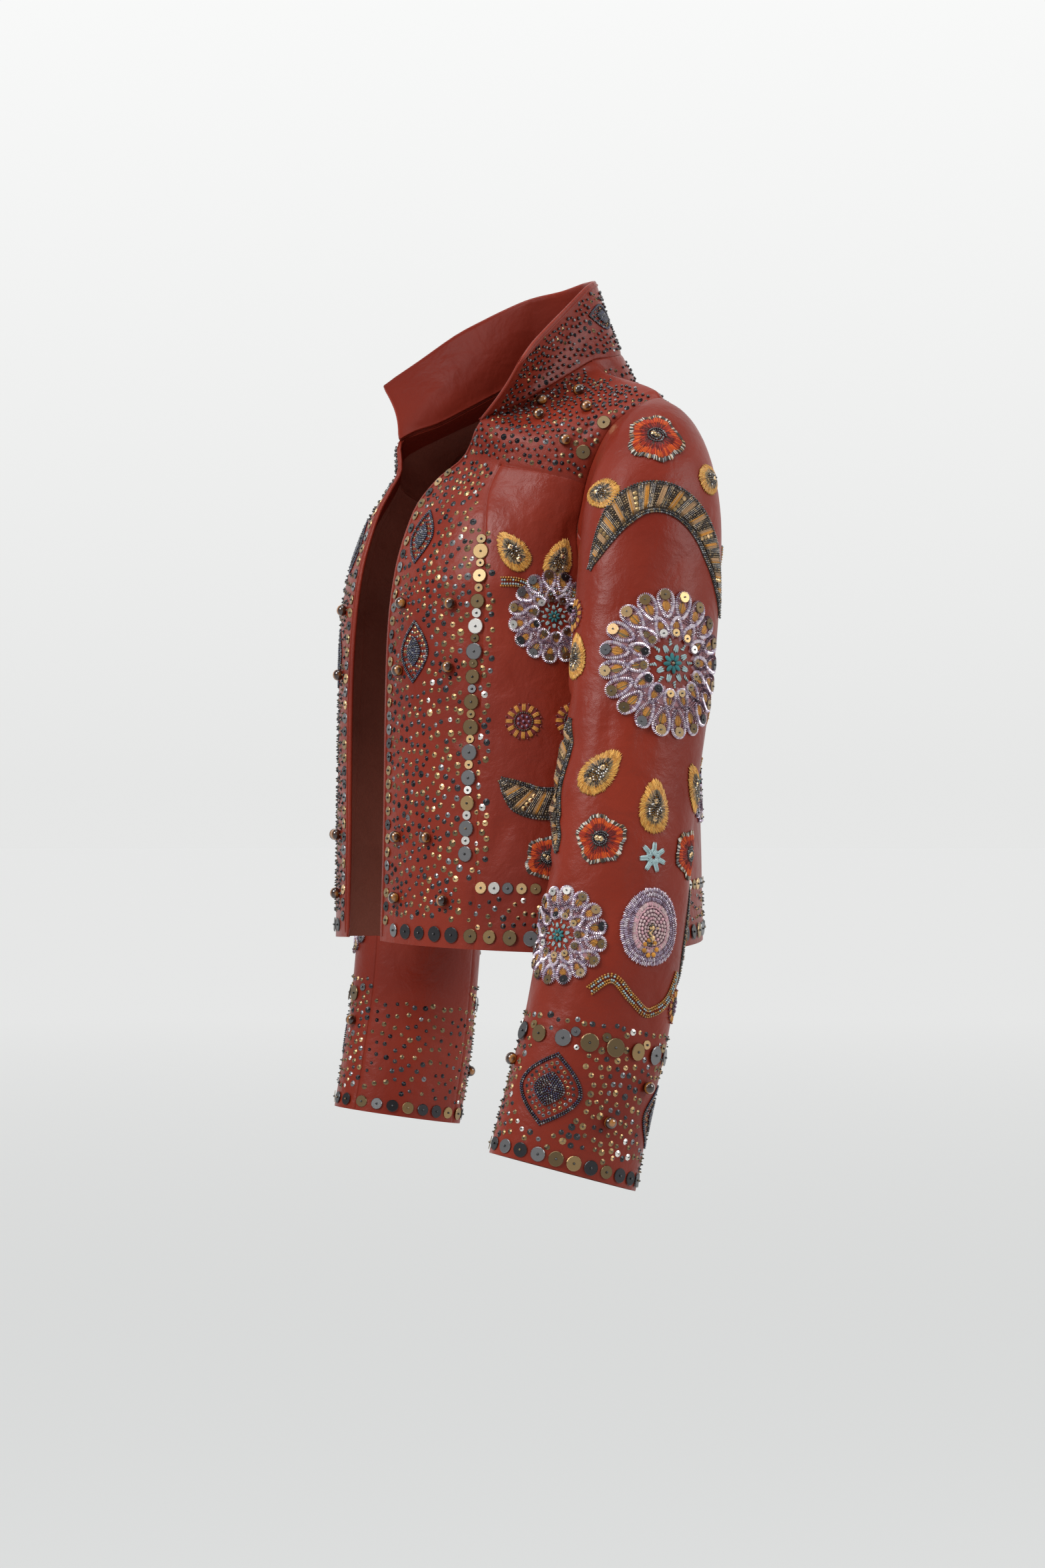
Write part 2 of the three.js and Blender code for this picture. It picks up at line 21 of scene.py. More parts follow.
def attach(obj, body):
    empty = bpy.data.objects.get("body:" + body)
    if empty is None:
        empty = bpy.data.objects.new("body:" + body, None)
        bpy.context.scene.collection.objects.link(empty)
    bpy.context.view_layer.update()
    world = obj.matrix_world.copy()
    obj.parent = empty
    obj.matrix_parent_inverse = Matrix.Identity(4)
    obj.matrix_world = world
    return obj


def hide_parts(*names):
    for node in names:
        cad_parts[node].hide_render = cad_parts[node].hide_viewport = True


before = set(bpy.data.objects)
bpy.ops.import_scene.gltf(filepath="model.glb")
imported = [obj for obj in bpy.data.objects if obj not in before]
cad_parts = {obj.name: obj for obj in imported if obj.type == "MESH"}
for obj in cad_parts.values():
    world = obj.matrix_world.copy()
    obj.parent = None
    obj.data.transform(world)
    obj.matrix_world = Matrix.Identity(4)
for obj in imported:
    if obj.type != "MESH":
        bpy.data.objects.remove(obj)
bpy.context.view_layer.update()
MM = 0.001
rng = np.random.default_rng(11)

# %% [markdown]
# ## Helpers for nodes
#
# Materials and the world are small graphs of nodes, and a few helpers keep the steps below short.

# %% Node helpers
def link(tree, source, target):
    tree.links.new(source, target)


def add_node(tree, kind, **settings):
    """A node, with its settings and, by the names of its sockets, its values."""
    node = tree.nodes.new(kind)
    for name, value in settings.items():
        if hasattr(node, name):
            setattr(node, name, value)
        else:
            node.inputs[name.replace("_", " ")].default_value = value
    return node


def new_group(name, inputs, outputs):
    """An empty node group with float inputs and outputs, and its two end nodes."""
    tree = bpy.data.node_groups.new(name, "ShaderNodeTree")
    for socket, value in inputs.items():
        tree.interface.new_socket(socket, in_out="INPUT", socket_type="NodeSocketFloat").default_value = value
    for socket in outputs:
        tree.interface.new_socket(socket, in_out="OUTPUT", socket_type="NodeSocketFloat")
    return tree, tree.nodes.new("NodeGroupInput"), tree.nodes.new("NodeGroupOutput")


def new_material(name, **sockets):
    """A material, its node tree and its Principled shader."""
    material = bpy.data.materials.new(name)
    material.use_nodes = True
    shader = material.node_tree.nodes["Principled BSDF"]
    for socket, value in sockets.items():
        shader.inputs[socket.replace("_", " ")].default_value = value
    return material, material.node_tree, shader

# %% [markdown]
# ## Camera, floor and light
#
# The jacket is seen from its left side and a little from the front, with a long lens at the
# height of its waist. A studio lights such a piece with large soft boxes, so that the leather
# shows broad sheens and every sequin finds something pale to reflect.

# %% Camera
VIEW_AZIMUTH = math.radians(67)
VIEW_DISTANCE = 3.2
VIEW_HEIGHT = -0.346
VIEW_SHIFT = -0.024  # how far right of the neck's axis the camera stands
LENS = 83.7

right_of_view = np.array([math.cos(VIEW_AZIMUTH), math.sin(VIEW_AZIMUTH)])
towards_camera = np.array([math.sin(VIEW_AZIMUTH), -math.cos(VIEW_AZIMUTH)])
spot = VIEW_DISTANCE * towards_camera + VIEW_SHIFT * right_of_view
camera = bpy.data.objects.new("camera", bpy.data.cameras.new("camera"))
camera.location = (*spot, VIEW_HEIGHT)
camera.rotation_euler = (math.radians(90), 0, VIEW_AZIMUTH)
camera.data.lens = LENS
bpy.context.scene.collection.objects.link(camera)
bpy.context.scene.camera = camera
bpy.context.scene.view_settings.view_transform = "Standard"
print(f"camera at {tuple(round(n, 2) for n in camera.location)}")

# %% Light and floor
FLOOR_HEIGHT = -1.45
FLOOR_RADIUS = 60
ROOM, HORIZON, OVERHEAD = (0.34, 0.34, 0.345, 1), (0.79, 0.795, 0.79, 1), (0.95, 0.955, 0.95, 1)
FLOOR_NEAR, FLOOR_FAR = (0.5, 0.51, 0.505, 1), (0.645, 0.65, 0.645, 1)
Softbox = namedtuple("Softbox", "name azimuth height distance size power")
SOFTBOXES = [
    Softbox("key", 18, 1.5, 2.6, 1.4, 72),
    Softbox("side", 140, 0.8, 2.8, 1.4, 38),
    Softbox("top", 60, 2.6, 0.8, 1.4, 28),
]
for box in SOFTBOXES:
    lamp = bpy.data.lights.new(box.name, "AREA")
    lamp.size = box.size
    lamp.energy = box.power
    light = bpy.data.objects.new(box.name, lamp)
    around = math.radians(box.azimuth)
    light.location = (box.distance * math.sin(around), -box.distance * math.cos(around), box.height)
    aim = Matrix.Translation((0, 0, -0.3)).translation - light.location
    light.rotation_euler = aim.to_track_quat("-Z", "Y").to_euler()
    bpy.context.scene.collection.objects.link(light)

# The wall behind the jacket is lit, and the rest of the room is dim, so that metal has both a pale
# and a dark side. The wall is a little darker towards the floor, so that the two meet evenly. Seen
# straight on, the paper wall is as pale on every side.
world = bpy.data.worlds.new("studio")
world.use_nodes = True
studio = world.node_tree
direction = add_node(studio, "ShaderNodeTexCoord").outputs["Generated"]
axes = add_node(studio, "ShaderNodeSeparateXYZ")
rise = add_node(studio, "ShaderNodeMapRange", From_Min=0.0, From_Max=0.22)
wall = add_node(studio, "ShaderNodeMix", data_type="RGBA")
wall.inputs["A"].default_value = HORIZON
wall.inputs["B"].default_value = OVERHEAD
behind = add_node(studio, "ShaderNodeVectorMath", operation="DOT_PRODUCT")
behind.inputs[1].default_value = (*-towards_camera, 0)
lit = add_node(studio, "ShaderNodeMapRange", interpolation_type="SMOOTHSTEP", From_Min=0.1, From_Max=0.8)
plain = add_node(studio, "ShaderNodeMath", operation="MAXIMUM")
seen = add_node(studio, "ShaderNodeLightPath").outputs["Is Camera Ray"]
room = add_node(studio, "ShaderNodeMix", data_type="RGBA")
room.inputs["A"].default_value = ROOM
for source, target in (
    (direction, axes.inputs["Vector"]),
    (axes.outputs["Z"], rise.inputs["Value"]),
    (rise.outputs["Result"], wall.inputs["Factor"]),
    (direction, behind.inputs[0]),
    (behind.outputs["Value"], lit.inputs["Value"]),
    (lit.outputs["Result"], plain.inputs[0]),
    (seen, plain.inputs[1]),
    (plain.outputs["Value"], room.inputs["Factor"]),
    (wall.outputs["Result"], room.inputs["B"]),
    (room.outputs["Result"], studio.nodes["Background"].inputs["Color"]),
):
    link(studio, source, target)
bpy.context.scene.world = world

disc = bmesh.new()
bmesh.ops.create_circle(disc, cap_ends=True, segments=64, radius=FLOOR_RADIUS)
bmesh.ops.translate(disc, verts=disc.verts, vec=(0, 0, FLOOR_HEIGHT))
floor = bpy.data.objects.new("floor", bpy.data.meshes.new("floor"))
disc.to_mesh(floor.data)
disc.free()
bpy.context.scene.collection.objects.link(floor)

# The floor glows a little, more so far off, as if lamps of its own lit it there.
paper, tree, shader = new_material("pale_floor", Roughness=0.9, Specular_IOR_Level=0.1, Emission_Strength=1.0)
shader.inputs["Base Color"].default_value = (0.25, 0.25, 0.25, 1)
far = add_node(tree, "ShaderNodeVectorMath", operation="LENGTH")
fade = add_node(tree, "ShaderNodeMapRange", From_Min=2.0, From_Max=14.0)
glow = add_node(tree, "ShaderNodeMix", data_type="RGBA")
glow.inputs["A"].default_value = FLOOR_NEAR
glow.inputs["B"].default_value = FLOOR_FAR
link(tree, add_node(tree, "ShaderNodeTexCoord").outputs["Object"], far.inputs[0])
link(tree, far.outputs["Value"], fade.inputs["Value"])
link(tree, fade.outputs["Result"], glow.inputs["Factor"])
link(tree, glow.outputs["Result"], shader.inputs["Emission Color"])
floor.data.materials.append(paper)
print(f"{len(SOFTBOXES)} soft boxes over a pale floor")

# %% [markdown]
# ## Leather
#
# The jacket is of smooth cowhide, dyed brick red. Close to, it has a fine pebbled grain, and from
# a step away its colour and its polish drift a little. Voronoi cells under a millimetre across
# give the pebbles, and two noises of a few centimetres give the drift. The shell, the facings and
# the piping share this grain, so it is a node group.


# %% Leather grain
grain, grain_in, grain_out = new_group("leather_grain", {"Pebbles": 1150.0},
                                       ["Height", "Drift", "Polish", "Wrinkles"])
place = add_node(grain, "ShaderNodeTexCoord").outputs["Object"]
pebbles = add_node(grain, "ShaderNodeTexVoronoi", feature="SMOOTH_F1")
fine = add_node(grain, "ShaderNodeTexNoise", Scale=520.0, Detail=4.0)
broad = add_node(grain, "ShaderNodeTexNoise", Scale=26.0, Detail=3.0)
slow = add_node(grain, "ShaderNodeTexNoise", Scale=9.0, Detail=2.0)
wrinkles = add_node(grain, "ShaderNodeTexNoise", Scale=40.0, Detail=3.0, Distortion=0.25)
both = add_node(grain, "ShaderNodeMath", operation="MULTIPLY_ADD")
both.inputs[1].default_value = 0.6
for texture in (pebbles, fine, broad, slow, wrinkles):
    link(grain, place, texture.inputs["Vector"])
link(grain, grain_in.outputs["Pebbles"], pebbles.inputs["Scale"])
link(grain, pebbles.outputs["Distance"], both.inputs[0])
link(grain, fine.outputs["Fac"], both.inputs[2])
link(grain, both.outputs[0], grain_out.inputs["Height"])
link(grain, slow.outputs["Fac"], grain_out.inputs["Drift"])
link(grain, broad.outputs["Fac"], grain_out.inputs["Polish"])
link(grain, wrinkles.outputs["Fac"], grain_out.inputs["Wrinkles"])
print("one leather grain for three finishes")


# %% Leather finishes
SOFT_WRINKLES = 0.004  # metres


def leather(name, light, dark, smooth, rough, bump, gloss):
    """A leather between two tints and two roughnesses, with a grain of some depth in metres."""
    material, tree, shader = new_material(name, Specular_IOR_Level=gloss)
    surface = add_node(tree, "ShaderNodeGroup", node_tree=grain)
    tint = add_node(tree, "ShaderNodeMix", data_type="RGBA")
    tint.inputs["A"].default_value = (*dark, 1)
    tint.inputs["B"].default_value = (*light, 1)
    sharper = add_node(tree, "ShaderNodeMapRange", From_Min=0.32, From_Max=0.68)
    polish = add_node(tree, "ShaderNodeMapRange", From_Min=0.3, From_Max=0.7, To_Min=smooth, To_Max=rough)
    relief = add_node(tree, "ShaderNodeBump", Strength=0.55, Distance=bump)
    soft = add_node(tree, "ShaderNodeBump", Strength=0.6, Distance=SOFT_WRINKLES)
    link(tree, surface.outputs["Drift"], sharper.inputs["Value"])
    link(tree, sharper.outputs["Result"], tint.inputs["Factor"])
    link(tree, tint.outputs["Result"], shader.inputs["Base Color"])
    link(tree, surface.outputs["Polish"], polish.inputs["Value"])
    link(tree, polish.outputs["Result"], shader.inputs["Roughness"])
    link(tree, surface.outputs["Wrinkles"], soft.inputs["Height"])
    link(tree, surface.outputs["Height"], relief.inputs["Height"])
    link(tree, soft.outputs["Normal"], relief.inputs["Normal"])
    link(tree, relief.outputs["Normal"], shader.inputs["Normal"])
    return material


red_leather = leather("red_leather", (0.225, 0.0245, 0.0105), (0.165, 0.0155, 0.007), 0.33, 0.46, 0.00025,
                      0.22)
# The facing is the shell's leather in a darker tint: painted shade for the inside of the opening and the
# collar.
facing_leather = leather("facing_leather", (0.16, 0.016, 0.007), (0.125, 0.011, 0.005), 0.42, 0.54,
                         0.00014, 0.1)
suede = leather("leather_back", (0.24, 0.07, 0.045), (0.18, 0.052, 0.033), 0.78, 0.9, 0.0003, 0.2)

# %% [markdown]
# ## The cut
#
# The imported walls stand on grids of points: rows up the body or down a sleeve, and columns round
# it. The shells need the same surface, only finer, so the tables of the cut are repeated here, and
# a smooth surface is drawn through each grid. Every bead can then be placed by its row and column.

# %% The body's sections
QUARTER, NECK_HALF, TOP, UNDERARM, NOTCH, YOKE, PRINCESS, FACING = 12, 6, 22, 10, 17, 16, 6, 5
AROUND, LENGTH, UNDER_FROM, UNDER_TO, STAND = 24, 34, 4, 21, 5
LEATHER, LINER, SEAM, FOLDED_SEAM = 1.8, 1.2, 0.3, 0.5

Section = namedtuple("Section", "row edge front back spine full princess")
BODY = [
    Section(0, (41, -174, -479), (198, -26, -487), (198, -26, -487), (0, 121, -475), 1.95, 0.49),
    Section(3, (42, -172, -403), (191, -26, -405), (191, -26, -405), (0, 119, -402), 2.03, 0.5),
    Section(6, (43, -171, -325), (183, -24, -325), (183, -24, -325), (0, 115, -325), 2.1, 0.505),
    Section(8, (43, -170, -266), (176, -20, -262), (176, -20, -262), (0, 111, -265), 2.2, 0.505),
    Section(10, (42, -167, -207), (170, -14, -205), (170, -14, -205), (0, 109, -208), 2.4, 0.505),
    Section(12, (43, -159, -155), (165, -38, -189), (166, 18, -188), (0, 111, -166), 2.45, 0.56),
    Section(14, (47, -142, -107), (161, -45, -136), (163, 45, -153), (0, 111, -123), 2.05, 0.53),
    Section(15, (57, -127, -86), (163, -42, -115), (163, 54, -132), (0, 110, -101), 1.75, 0.45),
    Section(16, (77, -111, -68), (165, -39, -97), (165, 59, -111), (0, 107, -80), 1.6, 0.37),
    Section(17, (94, -105, -41), (168, -35, -81), (168, 60, -91), (0, 103, -59), 1.45, 0.37),
    Section(19, (92, -70, -25), (178, -20, -48), (176, 51, -58), (0, 91, -18), 1.25, 0.43),
    Section(22, (75, 7, 18), (190, 18, -26), (190, 18, -26), (0, 58, 35), 1, 0.5),
]

# %% The sleeves' rings and the collar's edge
Ring = namedtuple("Ring", "row near far back half tip")
LEFT_ARM = [
    Ring(1.5, (176, -212), (212, -30), 6, 55, 0),
    Ring(3, (181, -219), (236, -45), -1, 60, 0),
    Ring(5, (187, -231), (258, -78), -7, 62, 1),
    Ring(7, (191, -248), (270, -120), -12, 62, 2),
    Ring(10, (197, -282), (281, -190), -20, 62, 3),
    Ring(13, (202, -322), (291, -262), -30, 60, 5),
    Ring(17, (208, -374), (300, -346), -44, 59, 7),
    Ring(22, (213, -454), (308, -447), -56, 59, 9),
    Ring(27, (215, -540), (311, -540), -73, 59, 11),
    Ring(31, (214, -603), (309, -603), -89, 60, 14),
    Ring(34, (211, -657), (306, -657), -101, 62, 16),
]
RIGHT_ARM = [
    Ring(1.5, (176, -212), (212, -30), 6, 55, 0),
    Ring(3, (181, -219), (236, -45), 2, 58, 0),
    Ring(5, (187, -231), (258, -78), -3, 60, 1),
    Ring(7, (191, -248), (270, -120), -6, 60, 2),
    Ring(10, (197, -281), (281, -189), -9, 60, 3),
    Ring(13, (202, -320), (291, -260), -12, 60, 4),
    Ring(17, (208, -371), (300, -343), -14, 59, 4),
    Ring(22, (213, -449), (308, -442), -18, 59, 4),
    Ring(27, (215, -533), (311, -533), -24, 59, 6),
    Ring(31, (214, -599), (309, -599), -33, 60, 8),
    Ring(34, (211, -656), (306, -656), -44, 60, 9),
]
Stand = namedtuple("Stand", "column left right roll")
COLLAR_TOP = [
    Stand(0, (0, 33, 94), (0, 33, 94), 1),
    Stand(3, (37, 27, 91), (37, 27, 91), 1),
    Stand(6, (65, 6, 81), (66, 5, 85), 2),
    Stand(8, (89, -25, 57), (90, -25, 69), 5),
    Stand(9, (105, -44, 43), (106, -46, 56), 6),
    Stand(10, (124, -68, 24), (126, -73, 34), 6),
    Stand(11, (145, -89, 5), (145, -100, 13), 5),
]
Fold = namedtuple("Fold", "row column wide long deep")
SLEEVE_FOLDS = [
    Fold(12.6, 4.2, 1.5, 2.8, 3.2), Fold(15.4, 6.4, 1.3, 2.6, 2.8), Fold(18.8, 5.2, 1.4, 2.9, 3.2),
    Fold(20.8, 4.4, 1.2, 2.4, 2.4), Fold(10.6, 19.8, 1.6, 2.6, 2.8), Fold(22, 19.4, 1.5, 2.4, 2.4),
]
FRONT_FOLDS = [Fold(10.8, 10.4, 1.8, 1.4, 3), Fold(3.4, 10, 3.4, 1.6, 2.6)]
BACK_FOLDS = [Fold(8, 13, 5, 2, 3.6), Fold(9.4, 9, 4, 1.8, 2.8), Fold(4, 4.4, 4, 2, 2.4)]


# %% Curves through the tables
def through(keys, values, at):
    """Values at some places, on a smooth curve through the values at the keys."""
    keys, values, at = (np.asarray(each, float) for each in (keys, values, at))
    order = np.arange(len(keys))
    before = np.maximum(order - 1, 0)
    after = np.minimum(order + 1, len(keys) - 1)
    slopes = ((values[after] - values[before]).T / (keys[after] - keys[before])).T
    k = np.clip(np.searchsorted(keys, at, side="right") - 1, 0, len(keys) - 2)
    step = keys[k + 1] - keys[k]
    t = (at - keys[k]) / step
    shares = (2 * t**3 - 3 * t**2 + 1, (t**3 - 2 * t**2 + t) * step, 3 * t**2 - 2 * t**3,
              (t**3 - t**2) * step)
    known = (values[k], slopes[k], values[k + 1], slopes[k + 1])
    return sum((share * value.T).T for share, value in zip(shares, known))


def quarter(middle, side, full, columns, seam=None, share=0.5):
    """Points along a quarter of a section, from its middle round to the side."""
    middle, side = np.array(middle, float), np.array(side, float)
    seam = seam or columns / 2

    def at(t):
        out = np.sin(t * math.pi / 2) ** (2 / full)
        back = np.abs(np.cos(t * math.pi / 2)) ** (2 / full)
        x = middle[0] + (side[0] - middle[0]) * out
        y = side[1] + (middle[1] - side[1]) * back
        return np.stack([x, y, middle[2] + (side[2] - middle[2]) * t], axis=-1)

    t = np.linspace(0, 1, 401)
    run = np.concatenate([[0], np.cumsum(np.linalg.norm(np.diff(at(t), axis=0), axis=1))])
    column = np.arange(columns + 1)
    part = np.where(column <= seam, share * column / seam,
                    1 - (1 - share) * (columns - column) / (columns - seam))
    return at(np.interp(part * run[-1], run, t))


# %% The grids
def press(grid, folds, middles):
    """Presses folds into a grid, towards the middle of each row."""
    row, column = np.mgrid[: grid.shape[0], : grid.shape[1]]
    depth = np.zeros(row.shape)
    for fold in folds:
        reach = np.hypot((row - fold.row) / fold.wide, (column - fold.column) / fold.long)
        depth += fold.deep * np.clip(1 - reach**2, 0, 1) ** 2
    inward = middles[:, None] - grid
    return grid + inward / np.linalg.norm(inward, axis=-1, keepdims=True) * depth[..., None]


def body_middles(grid):
    return np.stack([np.zeros(len(grid)), np.full(len(grid), -20.0), grid[:, 0, 2]], axis=-1)


def sleeve_grid(arm, hole):
    """Rings of points from the armhole to the cuff, round from the underarm by the front."""
    turn = 2 * math.pi * np.arange(AROUND)[:, None] / AROUND
    rings = [hole]
    for ring in arm:
        middle = np.array([(ring.near[0] + ring.far[0]) / 2, ring.back, (ring.near[1] + ring.far[1]) / 2])
        across = np.array([(ring.far[0] - ring.near[0]) / 2, 0, (ring.far[1] - ring.near[1]) / 2])
        tilt = math.radians(ring.tip)
        forward = ring.half * np.array([0, -math.cos(tilt), math.sin(tilt)])
        rings.append(middle - across * np.cos(turn) + forward * np.sin(turn))
    grid = through([0, *[ring.row for ring in arm]], rings, np.arange(LENGTH + 1))
    return press(grid, SLEEVE_FOLDS, grid.mean(axis=1))


def collar_half(side, feet):
    """Columns of a collar half, from the middle of the back to the notch."""
    columns = [stand.column for stand in COLLAR_TOP]
    tops = through(columns, [getattr(stand, side) for stand in COLLAR_TOP], np.arange(len(feet)))
    roll = through(columns, [stand.roll for stand in COLLAR_TOP], np.arange(len(feet)))
    neckward = -feet * (1, 1, 0)
    neckward /= np.linalg.norm(neckward, axis=1, keepdims=True)
    t = np.linspace(0, 1, STAND + 1)[:, None, None]
    return feet + (tops - feet) * t + neckward * roll[:, None] * np.sin(math.pi * t)


body_rows = np.arange(TOP + 1)
section_rows = [section.row for section in BODY]
front = through(
    section_rows, [quarter(s.edge, s.front, s.full, QUARTER, PRINCESS, s.princess) for s in BODY], body_rows,
)
back_sections = [quarter(s.spine, s.back, s.full, NECK_HALF + QUARTER) for s in BODY]
back_sections[-1] = np.concatenate([quarter(BODY[-1].spine, BODY[-1].edge, 2, NECK_HALF), front[TOP][1:]])
back = through(section_rows, back_sections, body_rows)
back[: UNDERARM + 1, -1] = front[: UNDERARM + 1, -1]
front = press(front, FRONT_FOLDS, body_middles(front))
back = press(back, BACK_FOLDS, body_middles(back))
hole = np.concatenate([front[UNDERARM:, -1], back[UNDERARM + 1 : TOP, -1][::-1]])
feet = np.concatenate([back[TOP][: NECK_HALF + 1], front[NOTCH:TOP, 0][::-1]])
MIRROR = np.array([-1, 1, 1])
collar = np.concatenate([(collar_half("right", feet) * MIRROR)[:, :0:-1], collar_half("left", feet)], axis=1)
whole_back = np.concatenate([(back * MIRROR)[:, :0:-1], back], axis=1)
print("grids of", front.shape[:2], whole_back.shape[:2], collar.shape[:2], "points")

# %% [markdown]
# ## A panel
#
# A panel is the smooth surface through a grid. It gives the place and the outward direction at any
# row and column, so that one piece of code can lay leather, piping or beads on any part of the
# jacket. Worn leather creases where an arm or a waist bends: those creases are soft troughs and
# ridges, listed in a table, and a seam is a narrow groove where two edges are turned in.

# %% Panels
Crease = namedtuple("Crease", "row column run width depth slant")
SEAM_DIP = 0.8
SEAM_REACH = 3.2
NUDGE = 0.02  # of a cell, for slopes


def unit(vectors):
    return vectors / np.maximum(np.linalg.norm(vectors, axis=-1, keepdims=True), 1e-12)


def dot(a, b):
    return (a * b).sum(axis=-1, keepdims=True)


def blend_weights(t):
    """The shares of the four points round a place on a smooth curve."""
    return np.stack([-t + 2 * t**2 - t**3, 2 - 5 * t**2 + 3 * t**3, t + 4 * t**2 - 3 * t**3, t**3 - t**2]) / 2


class Panel:
    """A curved piece: a grid of points, smooth between them, with creases and seams."""

    def __init__(self, name, grid, turn, wraps=False, creases=(), seams=()):
        self.name, self.turn, self.wraps, self.creases, self.seams = name, turn, wraps, creases, seams
        self.rows, self.columns = len(grid) - 1, grid.shape[1] - (0 if wraps else 1)
        self.row_pitch = np.linalg.norm(np.diff(grid, axis=0), axis=-1).mean()
        self.column_pitch = np.linalg.norm(np.diff(grid, axis=1), axis=-1).mean()
        grid = np.concatenate([2 * grid[:1] - grid[1:2], grid, 2 * grid[-1:] - grid[-2:-1]])
        if wraps:
            sides = (grid[:, -1:], grid, grid[:, :2])
        else:
            sides = (2 * grid[:, :1] - grid[:, 1:2], grid, 2 * grid[:, -1:] - grid[:, -2:-1])
        self.grid = np.concatenate(sides, axis=1)

    def apart(self, column, other):
        """How many columns a place is from another, the short way round."""
        if not self.wraps:
            return column - other
        return (column - other + self.columns / 2) % self.columns - self.columns / 2

    def holds(self, row, column):
        fits = (row >= 0) & (row <= self.rows)
        return fits if self.wraps else fits & (column >= 0) & (column <= self.columns)

    def smooth(self, row, column):
        """The plain surface, without creases."""
        row = np.clip(row, -0.2, self.rows + 0.2)
        column = column % self.columns if self.wraps else np.clip(column, -0.2, self.columns + 0.2)
        r = np.clip(np.floor(row), 0, self.rows - 1).astype(int)
        c = np.clip(np.floor(column), 0, self.columns - 1).astype(int)
        up, across = blend_weights(row - r), blend_weights(column - c)
        total = 0
        for i in range(4):
            line = sum(across[j][..., None] * self.grid[r + i, c + j] for j in range(4))
            total = total + up[i][..., None] * line
        return total

    def height(self, row, column):
        """How far the creases and seams lift the surface."""
        lift = np.zeros(np.shape(row))
        for crease in self.creases:
            u = (row - crease.row) * self.row_pitch
            v = self.apart(column, crease.column) * self.column_pitch
            cos, sin = math.cos(math.radians(crease.slant)), math.sin(math.radians(crease.slant))
            along, beside = u * cos + v * sin, v * cos - u * sin
            beside = beside + 2.0 * np.sin(along / crease.run * 2.2)
            fade = np.clip(1 - (along / crease.run) ** 2, 0, 1) ** 2
            lift = lift + crease.depth * fade * np.exp(-((beside / crease.width) ** 2))
        for row_a, column_a, row_b, column_b in self.seams:
            u = np.maximum(np.maximum(row_a - row, row - row_b), 0) * self.row_pitch
            if column_a == column_b:
                v = np.abs(self.apart(column, column_a)) * self.column_pitch
            else:
                v = np.maximum(np.maximum(column_a - column, column - column_b), 0) * self.column_pitch
            near = np.clip(1 - np.hypot(u, v) / SEAM_REACH, 0, 1)
            lift = lift - SEAM_DIP * near**2 * (3 - 2 * near)
        return lift

    def outward(self, row, column):
        """The outward direction of the plain surface."""
        across = self.smooth(row, column + NUDGE) - self.smooth(row, column - NUDGE)
        up = self.smooth(row + NUDGE, column) - self.smooth(row - NUDGE, column)
        return unit(np.cross(across, up)) * self.turn

    def at(self, row, column, lift=0.0):
        """Places on the creased surface, some millimetres above its middle."""
        row, column = np.asarray(row, float), np.asarray(column, float)
        rise = np.asarray(lift + self.height(row, column))
        return self.smooth(row, column) + self.outward(row, column) * rise[..., None]

    def frame(self, row, column):
        """Places, with what lies right, up and outward there to someone who looks at the piece."""
        row, column = np.asarray(row, float), np.asarray(column, float)
        across = self.at(row, column + NUDGE) - self.at(row, column - NUDGE)
        along = self.at(row + NUDGE, column) - self.at(row - NUDGE, column)
        out = unit(np.cross(across, along)) * self.turn
        up = unit(along * np.where(along[..., 2:] < 0, -1, 1))
        return self.at(row, column), unit(np.cross(up, out)), up, out

    def walk(self, row, column, heading, distance):
        """Follows the surface from places in some headings for some distances."""
        steps = max(1, math.ceil(float(np.max(distance)) / 5))
        for _ in range(steps):
            across = (self.smooth(row, column + NUDGE) - self.smooth(row, column - NUDGE)) / (2 * NUDGE)
            along = (self.smooth(row + NUDGE, column) - self.smooth(row - NUDGE, column)) / (2 * NUDGE)
            out = unit(np.cross(across, along))
            heading = unit(heading - out * dot(heading, out))
            step = heading * (distance / steps)[:, None]
            a, b, d = dot(across, across), dot(across, along), dot(along, along)
            p, q = dot(step, across), dot(step, along)
            spread = a * d - b * b
            column = column + ((p * d - q * b) / spread)[:, 0]
            row = row + ((q * a - p * b) / spread)[:, 0]
        return row, column

    def lay(self, row, column, turn, flat):
        """Rows and columns of points that are drawn flat, in millimetres round a middle."""
        _, right, up, _ = self.frame(np.array([row]), np.array([column]))
        angle = np.arctan2(flat[:, 1], flat[:, 0]) + turn
        heading = np.cos(angle)[:, None] * right + np.sin(angle)[:, None] * up
        start = np.full(len(flat), float(row)), np.full(len(flat), float(column))
        return self.walk(*start, heading, np.hypot(*flat.T))


